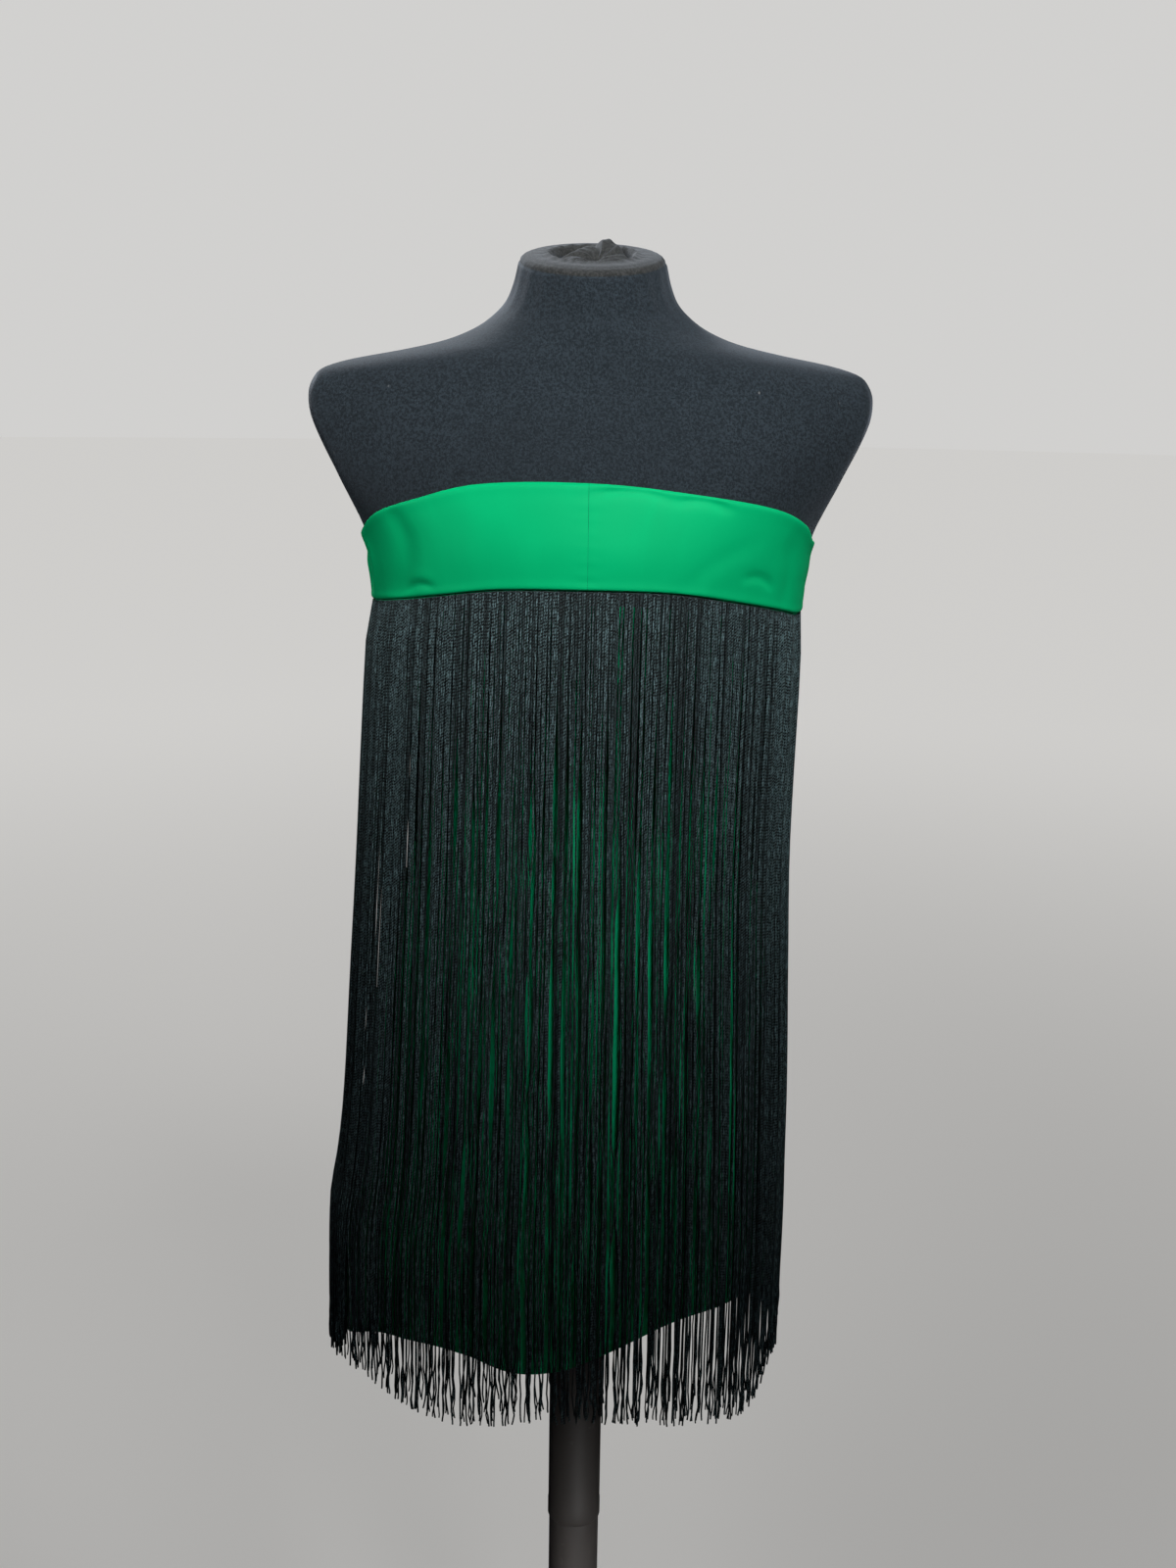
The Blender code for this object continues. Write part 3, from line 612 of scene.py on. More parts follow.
def oval(azimuth, half_width, front, back, fullness):
    """A full oval's points."""
    angle = np.radians(azimuth)
    across, along = np.sin(angle), np.cos(angle)
    power = 2.0 / fullness
    x = np.sign(across) * np.abs(across) ** power * half_width
    y = -np.sign(along) * np.abs(along) ** power * np.where(along > 0.0, front, back)
    return x, y


def figure_points(azimuth, drop, out=0.0):
    """Points of the figure, moved out. Its armhole sides are cut flat."""
    row = row_values(FIGURE, drop)
    x, y = oval(azimuth, row.half_width * row.cut + out, row.front + out, row.back + out,
                row.fullness)
    limit = row.half_width + out
    x = np.clip(x, -limit, limit)
    return np.stack([x, y, SHOULDER_HEIGHT - drop + y * NECK_LEAN * row.lean], axis=-1)


def slip_points(azimuth, drop, out=0.0):
    """Points of the slip's inner face, moved out, with its folds."""
    figure, row = row_values(FIGURE, drop), row_values(SLIP, drop)
    ridge = np.zeros_like(np.asarray(azimuth, dtype=float))
    for fold in FOLDS:
        ridge = ridge + fold.depth * np.exp(-(turned_in(azimuth - fold.azimuth) / fold.width) ** 2)
    out = out + ridge * row.folds
    x, y = oval(azimuth, figure.half_width * figure.cut + row.side + out,
                figure.front + row.front + out, figure.back + row.back + out, figure.fullness)
    limit = figure.half_width + row.side + out
    x = np.clip(x, -limit, limit)
    return np.stack([x + row.swing, y, SHOULDER_HEIGHT - drop], axis=-1)


def fall_points(azimuth, drop, out=0.0):
    """Points of the surface that the fringe falls along, moved out."""
    row = row_values(FALL, drop)
    x, y = oval(azimuth, row.half_width + out, row.front + out, row.back + out, FALL_FULLNESS)
    return np.stack([x + row.swing, y, SHOULDER_HEIGHT - drop], axis=-1)


def crease_heights(creases, azimuth, drop):
    """How far the creases stand out of the cloth, or into it."""
    height = np.zeros(np.broadcast(azimuth, drop).shape)
    degree = math.radians(1.0) * MEAN_RADIUS
    for crease in creases:
        run = np.array([(crease.azimuth_b - crease.azimuth_a) * degree,
                        crease.drop_b - crease.drop_a])
        length = float(np.hypot(*run))
        heading = run / length
        away = turned_in(azimuth - crease.azimuth_a) * degree
        down = drop - crease.drop_a
        along = (away * heading[0] + down * heading[1]) / length
        aside = away * heading[1] - down * heading[0]
        bend = 0.10 * length * np.sin(np.clip(along, 0.0, 1.0) * math.pi)
        ends = np.clip((along + 0.25) / 0.5, 0.0, 1.0) * np.clip((1.25 - along) / 0.5, 0.0, 1.0)
        ends = ends * ends * (3.0 - 2.0 * ends)
        height = height + crease.height * ends * np.exp(-((aside - bend) / crease.width) ** 2)
    return height


def soft_noise(azimuth, drop, seed, size):
    """Smooth unevenness of cloth, from -1 to 1, the same on every run."""
    chance = np.random.default_rng(seed)
    total = np.zeros(np.broadcast(azimuth, drop).shape)
    for _ in range(9):
        turns = int(chance.integers(2, 12))
        rate = chance.uniform(0.3, 1.0) / size
        phase = chance.uniform(0.0, 2.0 * math.pi)
        slant = chance.choice([-1.0, 1.0])
        total = total + np.sin(np.radians(azimuth) * turns + slant * drop * rate + phase)
    return total / 9.0


def link_piece(thing):
    """Put a piece in the scene's collection."""
    bpy.context.scene.collection.objects.link(thing)
    return thing


def new_piece(name, points, faces, finish=None, sharp=None, places=None, map_name="cloth"):
    """A smooth mesh with its finish, its edges past the sharp angle in degrees and, where
    places are given, a UV map."""
    mesh = bpy.data.meshes.new(name)
    mesh.from_pydata(points.tolist(), [], faces)
    mesh.validate()
    if finish is not None:
        mesh.materials.append(finish)
    mesh.shade_smooth()
    if sharp is not None:
        mesh.set_sharp_from_angle(angle=math.radians(sharp))
    if places is not None:
        layer = mesh.uv_layers.new(name=map_name)
        loops = np.empty(len(mesh.loops), dtype=np.int32)
        mesh.loops.foreach_get("vertex_index", loops)
        layer.data.foreach_set("uv", places[loops].astype(np.float32).ravel())
    return link_piece(bpy.data.objects.new(name, mesh))


def line_piece(name, points):
    """A line through points, for a modifier or a node tree to build on."""
    mesh = bpy.data.meshes.new(name)
    mesh.from_pydata(points, [(i, i + 1) for i in range(len(points) - 1)], [])
    return link_piece(bpy.data.objects.new(name, mesh))


def grid_faces(numbers):
    """Faces of a grid of points, from the grid of their numbers."""
    upper, lower = numbers[:-1], numbers[1:]
    corners = [upper[:, :-1], lower[:, :-1], lower[:, 1:], upper[:, 1:]]
    return np.stack([corner.ravel() for corner in corners], axis=-1).tolist()


def capped_rings(name, rings, first_hub, last_hub, sharp=None):
    """A jersey piece from closed rings, with a fan of faces at each end."""
    rows, columns = rings.shape[:2]
    hub, last = rows * columns, (rows - 1) * columns
    numbers = np.arange(hub).reshape(rows, columns)
    faces = grid_faces(np.hstack([numbers, numbers[:, :1]]))
    for i in range(columns):
        j = (i + 1) % columns
        faces.append([hub, i, j])
        faces.append([hub + 1, last + j, last + i])
    points = np.concatenate([rings.reshape(-1, 3), [first_hub], [last_hub]])
    return new_piece(name, points, faces, finish_for("jersey"), sharp)


def wall_piece(name, azimuths, loop_points, finish):
    """A closed wall of cloth. loop_points are rows of points round its section, from the top of
    its outer face down and back up its inner face, each row running along the azimuths."""
    rows, columns = loop_points.shape[:2]
    numbers = np.arange(rows * columns).reshape(rows, columns)
    faces = grid_faces(np.vstack([numbers, numbers[:1]]))
    for column, flip in ((0, False), (columns - 1, True)):
        for r in range(rows // 2 - 1 + rows % 2):
            a, b = r * columns + column, (r + 1) * columns + column
            c, d = (rows - 2 - r) * columns + column, (rows - 1 - r) * columns + column
            face = [a, d, c, b] if len({a, b, c, d}) == 4 else [a, d, b]
            faces.append(face[::-1] if flip else face)
    round_cloth = np.broadcast_to(np.radians(azimuths) * MEAN_RADIUS, (rows, columns))
    down_cloth = SHOULDER_HEIGHT - loop_points[..., 2]
    places = np.stack([round_cloth, down_cloth], axis=-1).reshape(-1, 2)
    return new_piece(name, loop_points.reshape(-1, 3), faces, finish, 60.0, places)


def panel_azimuths(start, end, count):
    """A panel's columns, its outermost ones a seam's turn inside its ends."""
    azimuths = np.linspace(start, end, count)
    azimuths[0] += SEAM_TURN
    azimuths[-1] -= SEAM_TURN
    return azimuths


def settle(piece, slot, *nodes):
    """What every piece of the part needs: its body, and the solids it stands for hidden. The slot
    is not used.
    """
    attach(piece, "root")
    if nodes:
        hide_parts(*nodes)
    return piece


def turned_piece(name, profile, steps, finish):
    """A turned piece, from a profile of radius and height run from its top down."""
    thing = line_piece(name, [(radius, 0.0, height) for radius, height in profile])
    thing.data.materials.append(finish)
    spin = thing.modifiers.new("spin", "SCREW")
    spin.steps = steps
    spin.render_steps = steps
    spin.use_merge_vertices = True
    spin.merge_threshold = 0.00005
    spin.use_smooth_shade = True
    return evaluated_piece(thing, name)


def evaluated_piece(source, name, sharp=35.0):
    """A plain mesh of what the modifiers make, in place of the object that had them."""
    graph = bpy.context.evaluated_depsgraph_get()
    mesh = bpy.data.meshes.new_from_object(source.evaluated_get(graph), depsgraph=graph)
    bpy.data.objects.remove(source, do_unlink=True)
    mesh.name = name
    if sharp is not None:
        mesh.shade_smooth()
        mesh.set_sharp_from_angle(angle=math.radians(sharp))
    return link_piece(bpy.data.objects.new(name, mesh))


def rounded(corner_radius, corner_height, size, outward, downward, steps=4):
    """A quarter round in a profile. outward and downward are the signs of its turn."""
    centre = (corner_radius - outward * size, corner_height - downward * size)
    arc = []
    for i in range(steps + 1):
        angle = 0.5 * math.pi * i / steps
        arc.append((centre[0] + outward * size * math.sin(angle),
                    centre[1] + downward * size * math.cos(angle)))
    return arc


class DRESS_OT_stand(bpy.types.Operator):
    """Build the round foot and the two poles"""

    bl_idname = "dress.stand"
    bl_label = "Stand"

    plate_thickness = 0.008
    boss_radius = 0.034
    bore_floor = 0.004
    spigot_radius = 0.0175
    spigot_length = 0.050

    def execute(self, context):
        sizes = context.scene.dress_sizes
        finish = finish_for("stand")
        radius, joint = sizes.pole_radius, sizes.pole_joint
        spigot, spigot_top = self.spigot_radius, joint + self.spigot_length
        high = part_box("base_plate")[1]
        plate, boss_high = high[0], high[2]
        thick, boss = self.plate_thickness, self.boss_radius
        bore, bore_floor = radius + SEAM_GAP, self.bore_floor
        profile = [(0.0, bore_floor), (bore, bore_floor), (bore, boss_high - 0.0008)]
        profile += [(bore + 0.0008, boss_high)]
        profile += rounded(boss, boss_high, 0.0022, 1, 1)
        profile += [(boss, thick + 0.002), (boss + 0.0006, thick + 0.0006), (boss + 0.002, thick)]
        profile += rounded(plate, thick, 0.0026, 1, 1)
        profile += rounded(plate, 0.0, 0.0010, 1, -1)[::-1]
        profile += [(0.0, 0.0)]
        settle(turned_piece("foot_plate", profile, 160, finish), "stand_metal", "base_plate")

        profile = [(0.0, spigot_top), (spigot - 0.0010, spigot_top),
                   (spigot, spigot_top - 0.0010), (spigot, joint)]
        profile += rounded(radius, joint, 0.0012, 1, 1)
        foot = bore_floor + SEAM_GAP
        profile += [(radius, joint - 0.010), (radius, 0.24), (radius, foot), (0.0, foot)]
        settle(turned_piece("pole_lower_tube", profile, 96, finish), "stand_metal", "pole_lower")

        upper = radius + 0.0008
        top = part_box("pole_upper")[1][2]
        mouth, socket = joint + SEAM_GAP, spigot + SEAM_GAP
        profile = [(0.0, top), (upper - 0.001, top), (upper, top - 0.001)]
        profile += [(upper, 0.70), (upper, joint + 0.0150)]
        profile += [(upper + 0.0003, joint + 0.0144), (upper + 0.0003, mouth + 0.0012)]
        profile += [(upper, mouth + 0.0005), (upper - 0.0006, mouth), (socket, mouth)]
        profile += [(socket, spigot_top + SEAM_GAP), (0.0, spigot_top + SEAM_GAP)]
        settle(turned_piece("pole_upper_tube", profile, 96, finish), "stand_metal", "pole_upper")
        return {"FINISHED"}


class DRESS_OT_form(bpy.types.Operator):
    """Build the dress form's torso in its jersey cover, with the gathered end in its neck"""

    bl_idname = "dress.form"
    bl_label = "Dress form"

    columns = 176
    rim_seam = -0.0660
    rim_round = 0.0062
    groove_depth = 0.0006
    armhole_seam_depth = 0.0008
    arm_bulge = 0.0070
    underside_shares = (0.985, 0.6)
    socket_radius = 0.0211
    socket_depth = 0.09
    tuck_columns = 132
    tuck_rings = 22
    peak_height = 0.0128
    # The gathered end's sharp folds: start, end, half width and height
    tuck_folds = (
        ((0.0120, 0.0170), (-0.0090, -0.0040), 0.0040, 0.0085),
        ((0.0125, 0.0160), (0.0070, -0.0100), 0.0034, 0.0065),
        ((-0.0080, 0.0170), (-0.0180, 0.0040), 0.0028, 0.0035),
    )

    def execute(self, context):
        self.make_torso()
        self.make_tuck()
        return {"FINISHED"}

    def torso_rows(self, azimuths, drops):
        """Rings of the torso's side, with the domed armhole plates and the rim's seam."""
        azimuth, drop = np.meshgrid(azimuths, drops)
        row = row_values(FIGURE, drop)
        groove = -self.groove_depth * np.exp(-((drop - self.rim_seam) / 0.0012) ** 2)
        swell = 0.0003 * np.exp(-((drop - self.rim_seam + 0.004) / 0.003) ** 2)
        past = np.clip(1.0 - (drop - FIGURE[0].drop) / self.rim_round, 0.0, 1.0)
        turned = -self.rim_round * (1.0 - np.sqrt(1.0 - 0.98 * past ** 2)) * 0.8
        neck = np.exp(-((drop + 0.055) / 0.02) ** 2)
        angle = np.radians(azimuth)
        pucker = 0.00025 * neck * np.sin(angle * 31 + 3.0 * np.sin(angle * 3))
        uneven = 0.0004 * soft_noise(azimuth, drop, 5, 0.05)
        out = groove + swell + pucker + uneven + turned - 0.0004
        x, y = oval(azimuth, row.half_width * row.cut + out, row.front + out, row.back + out,
                    row.fullness)
        # The armhole plates fade out above, at the shoulder, and below, at the bust
        fade = np.clip((0.125 - drop) / 0.05, 0.0, 1.0) * np.clip((drop - 0.002) / 0.012, 0.0, 1.0)
        bulge = self.arm_bulge * fade
        limit = row.half_width - bulge
        reach = row.half_width * row.cut
        share = np.clip(1.0 - (limit / reach) ** row.fullness, 1e-6, 1.0) ** (1.0 / row.fullness)
        edge = np.where(y < 0.0, row.front, row.back) * share
        dome = bulge * np.clip(1.0 - (y / edge) ** 2, 0.0, 1.0)
        seam = self.armhole_seam_depth * fade * np.exp(-((np.abs(x) - limit) / 0.0012) ** 2)
        cut = np.sign(x) * np.minimum(np.abs(x), limit + dome)
        x = np.where(np.abs(x) > limit, cut, x - np.sign(x) * seam)
        z = SHOULDER_HEIGHT - drop + y * NECK_LEAN * row.lean
        return np.stack([x, y, z], axis=-1)

    def make_torso(self):
        azimuths = np.linspace(-180.0, 180.0, self.columns, endpoint=False)
        angle = np.radians(azimuths)
        top = FIGURE[0].drop
        inner = []
        roll = NECK_ROLL_RISE
        # The neck's opening: up the hole's wall, round its lip and out over the roll
        for radius, drop in ((NECK_HOLE_RADIUS, top + NECK_HOLE_DEPTH),
                             (NECK_HOLE_RADIUS, top + 0.008), (NECK_HOLE_RADIUS, top + 0.002),
                             (NECK_HOLE_RADIUS + 0.0010, top - 0.0008),
                             (NECK_HOLE_RADIUS + 0.0032, top - 0.0024),
                             (NECK_HOLE_RADIUS + 0.0070, top - roll),
                             (0.0380, top - roll * 1.05), (0.0410, top - roll * 0.92),
                             (0.0435, top - roll * 0.6), (0.0450, top - roll * 0.2)):
            x, y = oval(azimuths, radius, radius, radius, 2.0)
            swirl = np.exp(-((radius - 0.030) / 0.008) ** 2)
            creases = 0.0003 * swirl * np.sin(angle * 23 + 2.0 * np.cos(angle * 4))
            z = SHOULDER_HEIGHT - drop + y * NECK_LEAN + creases
            inner.append(np.stack([x, y, z], axis=-1))
        # Rows are closest at the neck's rim and its seam
        drops = np.concatenate([
            top + (self.rim_seam + 0.003 - top) * np.linspace(0.0, 1.0, 20) ** 1.3,
            np.linspace(self.rim_seam + 0.005, 0.030, 48), np.linspace(0.034, 0.180, 30),
            np.linspace(0.190, FORM_LENGTH - 0.003, 34)])
        sides = self.torso_rows(azimuths, drops)
        low = SHOULDER_HEIGHT - FORM_LENGTH
        under = [sides[-1] * (share, share, 0.0) + (0.0, 0.0, low)
                 for share in self.underside_shares]
        x, y = oval(azimuths, *[self.socket_radius] * 3, 2.0)
        for height in (low, low + self.socket_depth):
            under.append(np.stack([x, y, np.full_like(x, height)], axis=-1))
        torso = capped_rings("jersey_torso", np.stack(inner + list(sides) + under),
                             [0.0, 0.0, SHOULDER_HEIGHT - top - NECK_HOLE_DEPTH],
                             [0.0, 0.0, low + self.socket_depth], sharp=50.0)
        settle(torso, "form_jersey", "torso_form")

    def tent(self, x, y, place, width, height):
        """A pointed lift of the cloth."""
        away = np.hypot(x - place[0], y - place[1])
        return height * np.exp(-(away / width) ** 1.3)

    def fold(self, x, y, start, end, width, height):
        """A fold with a sharp crest, which sinks from its start to its end."""
        run = np.subtract(end, start)
        along = ((x - start[0]) * run[0] + (y - start[1]) * run[1]) / (run @ run)
        along = np.clip(along, 0.0, 1.0)
        aside = np.hypot(x - start[0] - run[0] * along, y - start[1] - run[1] * along)
        return height * (1.0 - 0.8 * along) * np.exp(-(aside / width) ** 1.2)

    def make_tuck(self):
        """The cover's end: gathers that run in over the rim, twist and sink into the hole."""
        azimuths = np.linspace(-180.0, 180.0, self.tuck_columns, endpoint=False)
        rim = NECK_HOLE_RADIUS - SEAM_GAP
        top = SHOULDER_HEIGHT - FIGURE[0].drop
        angle = np.radians(azimuths)
        stack = []
        for i in range(self.tuck_rings):
            share = 0.04 + 0.96 * i / (self.tuck_rings - 1)
            twist = 1.1 * (1.0 - share) ** 1.4
            folds = (np.sin(9 * (angle + twist)) + 0.7 * np.sin(14 * (angle + twist * 1.2) + 1.3)
                     + 0.5 * np.sin(5 * (angle + twist * 0.8) + 0.6))
            swell = math.sin(math.pi * min(1.0, share * 0.97)) ** 0.6
            sink = -0.0060 - 0.0050 * (1.0 - share) ** 2 + 0.0040 * math.sin(math.pi * share)
            radius = rim * share
            x, y = oval(azimuths, radius, radius, radius, 2.0)
            peak = self.tent(x, y, (0.0125, 0.0180), 0.0170, self.peak_height)
            tail = self.tent(x, y, (-0.0090, 0.0150), 0.0050, 0.0012)
            ridge = np.max([self.fold(x, y, *fold) for fold in self.tuck_folds], axis=0)
            peak = peak + 0.4 * ridge * (1.0 - peak / self.peak_height)
            edge = 1.0 - share ** 10
            z = top + sink + (0.0009 * folds * swell + peak + tail) * edge + y * NECK_LEAN
            stack.append(np.stack([x, y, z], axis=-1))
        x, y = oval(azimuths, rim, rim, rim, 2.0)
        floor = top - NECK_HOLE_DEPTH + SEAM_GAP + y * NECK_LEAN
        stack.append(np.stack([x, y, floor], axis=-1))
        tuck = capped_rings("jersey_tuck", np.stack(stack), stack[0].mean(axis=0),
                            [0.0, 0.0, top - NECK_HOLE_DEPTH + SEAM_GAP])
        settle(tuck, "form_jersey", "neck_tuck")


class DRESS_OT_band(bpy.types.Operator):
    """Build the folded satin band in its three panels"""

    bl_idname = "dress.band"
    bl_label = "Bust band"

    panels = {
        "band_panel_left": ("band_front_left", -90.0, 0.0, 130),
        "band_panel_right": ("band_front_right", 0.0, 90.0, 130),
        "band_panel_back": ("band_back", 90.0, 270.0, 240),
    }
    down_rows = 34
    # How the band's top edge hugs the figure at the sides: depth, half width in degrees, height
    hug_depth = 0.0024
    hug_width = 22.0
    hug_height = 0.018
    seam_depth = 0.00010
    least_wall = 0.0008

    def execute(self, context):
        sizes = context.scene.dress_sizes
        for name, (node, start, end, count) in self.panels.items():
            azimuths = panel_azimuths(start, end, count)
            section = self.section(azimuths, start, end, sizes)
            piece = wall_piece(name, azimuths, section, finish_for("band"))
            settle(piece, "band_satin", node)
            self.declare(piece, azimuths)
        return {"FINISHED"}

    def section(self, azimuths, start, end, sizes):
        """Rows round the band's wall: the outer face, a fold, the inner face and a fold."""
        edges = edges_at(azimuths)
        fold = sizes.band_fold
        thick = sizes.band_outer - sizes.band_inner
        shares = np.linspace(0.0, 1.0, self.down_rows)
        ease = 0.5 - 0.5 * np.cos(np.pi * shares)
        levels = 0.35 * shares + 0.65 * ease
        rows = []
        seam_near = np.minimum(np.abs(azimuths - start), np.abs(azimuths - end))
        side_near = np.abs(np.abs(azimuths) % 180.0 - 90.0)
        hug = self.hug_depth * np.exp(-(side_near / self.hug_width) ** 2)
        seam_fall = self.seam_depth * np.exp(-(seam_near / 0.30) ** 2)
        for level in levels:
            drop = edges.band_top + (edges.band_bottom - edges.band_top) * level
            from_top = drop - edges.band_top
            from_low = edges.band_bottom - drop
            near = np.minimum(from_top, from_low)
            turn = np.clip(near / fold, 0.0, 1.0)
            round_in = (1.0 - np.sqrt(np.clip(1.0 - (1.0 - turn) ** 2, 0.0, 1.0))) * fold
            # The folded edges are a little plumper than the flat of the band
            plump = 0.0005 * np.exp(-((from_low - 0.0025) / 0.0025) ** 2)
            plump = plump + 0.0004 * np.exp(-((from_top - 0.0030) / 0.0030) ** 2)
            quiet = np.clip(near / 0.004, 0.0, 1.0)
            creases = crease_heights(BAND_CREASES, azimuths, drop) * (0.35 + 0.65 * quiet)
            ripple = np.sin(drop * 2.0 * math.pi / 0.009)
            pucker = 0.00018 * np.exp(-(seam_near / 2.2) ** 2) * ripple
            uneven = 0.0004 * soft_noise(azimuths, drop, 11, 0.02) * quiet
            out = sizes.band_outer - round_in + plump + creases + pucker + uneven - seam_fall
            out = out - hug * np.exp(-(from_top / self.hug_height) ** 2)
            out = np.maximum(out, sizes.band_inner + self.least_wall)
            rows.append(figure_points(azimuths, drop, out))
        for level in levels[::-1]:
            drop = edges.band_top + (edges.band_bottom - edges.band_top) * level
            near = np.minimum(drop - edges.band_top, edges.band_bottom - drop)
            turn = np.clip(near / (thick * 0.35), 0.0, 1.0)
            out = sizes.band_inner + (1.0 - turn) * thick * 0.25
            rows.append(figure_points(azimuths, drop, out))
        return np.stack(rows)

    def declare(self, piece, azimuths):
        """Works out a panel's middle line and edges, and leaves them unused. A panel is cut on the
        double, and shows one thickness of that.
        """
        middle = figure_points(azimuths, 0.5 * sum(edges_at(azimuths)[1:3]), 0.0037)
        edges = edges_at(azimuths)


class DRESS_OT_slip(bpy.types.Operator):
    """Build the glossy satin slip's front and back, its hem and the hem's stitches"""

    bl_idname = "dress.slip"
    bl_label = "Satin slip"

    panels = {
        "slip_panel_front": ("slip_front", -90.0, 90.0, 260),
        "slip_panel_back": ("slip_back", 90.0, 270.0, 260),
    }
    down_rows = 110
    stitch_pitch = 0.0032
    # The stitches lie this far below the turned-up hem's upper edge
    stitch_drop = 0.0015

    def execute(self, context):
        sizes = context.scene.dress_sizes
        for name, (node, start, end, count) in self.panels.items():
            azimuths = panel_azimuths(start, end, count)
            section, outer = self.section(azimuths, start, end, sizes)
            piece = wall_piece(name, azimuths, section, finish_for("slip"))
            settle(piece, "slip_satin", node)
            stitches = self.stitches(name.replace("panel", "hem_stitches"), outer, sizes)
            settle(stitches, "slip_satin")
            self.declare(piece, outer, stitches)
        return {"FINISHED"}

    def section(self, azimuths, start, end, sizes):
        """Rows round the slip's wall, and the rows of its outer face alone."""
        edges = edges_at(azimuths)
        top = edges.band_bottom + SEAM_GAP
        # Rows are closest at the turned-up hem
        hem_start, hem_rows = 0.965, 14
        shares = np.concatenate([
            np.linspace(0.0, hem_start, self.down_rows - hem_rows, endpoint=False),
            np.linspace(hem_start, 1.0, hem_rows)])
        seam_near = np.minimum(np.abs(azimuths - start), np.abs(azimuths - end))
        seam = -0.0004 * np.exp(-(seam_near / 0.5) ** 2)
        outer, inner = [], []
        for share in shares:
            drop = top + (edges.hem - top) * share
            low = edges.hem - drop
            free = np.clip((drop - 0.24) / 0.08, 0.0, 1.0)
            creases = crease_heights(SLIP_CREASES, azimuths, drop) * free
            waves = 0.0006 * soft_noise(azimuths, drop, 21, 0.03) * free
            turned = 0.00035 * np.clip((sizes.hem_depth - low) / 0.0008, 0.0, 1.0)
            dent = -0.00025 * np.exp(-((low - sizes.hem_depth + 0.0015) / 0.0008) ** 2)
            shape = creases + waves + seam
            outer.append(slip_points(azimuths, drop, sizes.slip_thickness + shape + turned + dent))
            inner.append(slip_points(azimuths, drop, shape))
        return np.stack(outer + inner[::-1]), np.stack(outer)

    def stitches(self, name, outer, sizes):
        """A line of short stitches above the hem, laid along it by a node tree."""
        steps = np.linalg.norm(outer[-1] - outer[-2], axis=-1).mean()
        height = sizes.hem_depth - self.stitch_drop
        row = len(outer) - 1 - int(round(height / steps))
        line = outer[row] + (outer[row] - outer[row].mean(axis=0)) * np.array([0.001, 0.001, 0.0])
        source = line_piece(name + "_line", line.tolist())
        modifier = source.modifiers.new("stitches", "NODES")
        modifier.node_group = stitch_tree(finish_for("slip"))
        set_input(modifier, "Pitch", self.stitch_pitch)
        set_input(modifier, "Length", self.stitch_pitch * 0.72)
        return evaluated_piece(source, name, sharp=None)

    def declare(self, piece, outer, stitches):
        """Does nothing. The cut panel: as wide as its hem, as long as its longest side."""


def new_tree(name, inputs, output):
    """A node tree with named inputs."""
    tree = bpy.data.node_groups.new(name, "GeometryNodeTree")
    for label, kind, default in inputs:
        socket = tree.interface.new_socket(name=label, in_out="INPUT", socket_type=kind)
        if default is not None:
            socket.default_value = default
    tree.interface.new_socket(name=output, in_out="OUTPUT", socket_type="NodeSocketGeometry")
    graph = Graph(tree)
    return tree, graph, graph.add("NodeGroupInput")


def set_input(modifier, label, value):
    """Set a modifier's input by the identifier of the socket that has this name."""
    for item in modifier.node_group.interface.items_tree:
        if item.item_type == "SOCKET" and item.in_out == "INPUT" and item.name == label:
            modifier[item.identifier] = value
            return
    raise KeyError(label)


def end_tree(graph, geometry, finish):
    """The end of every tree: real geometry, shaded smooth, with its material."""
    real = graph.add("GeometryNodeRealizeInstances", None, {"Geometry": geometry})[0]
    smooth = graph.add("GeometryNodeSetShadeSmooth", None, {"Geometry": real})[0]
    last = graph.add("GeometryNodeSetMaterial", None, {"Geometry": smooth, "Material": finish})[0]
    graph.add("NodeGroupOutput", None, {0: last})


def stitch_tree(finish):
    """Short rounded stitches at even steps along a line."""
    tree, graph, inlet = new_tree("hem_stitches", [
        ("Line", "NodeSocketGeometry", None), ("Pitch", "NodeSocketFloat", 0.0032),
        ("Length", "NodeSocketFloat", 0.0023), ("Thickness", "NodeSocketFloat", 0.0004),
    ], "Stitches")
    curve = graph.add("GeometryNodeMeshToCurve", None, {"Mesh": inlet["Line"]})[0]
    points = graph.add("GeometryNodeCurveToPoints", {"mode": "LENGTH"},
                       {"Curve": curve, "Length": inlet["Pitch"]})
    bead = graph.add("GeometryNodeMeshUVSphere", None,
                     {"Segments": 6, "Rings": 4, "Radius": 0.5})[0]
    size = graph.vector(inlet["Thickness"], inlet["Thickness"], inlet["Length"])
    placed = graph.add("GeometryNodeInstanceOnPoints", None,
                       {"Points": points["Points"], "Instance": bead,
                        "Rotation": points["Rotation"], "Scale": size})[0]
    end_tree(graph, placed, finish)
    return tree


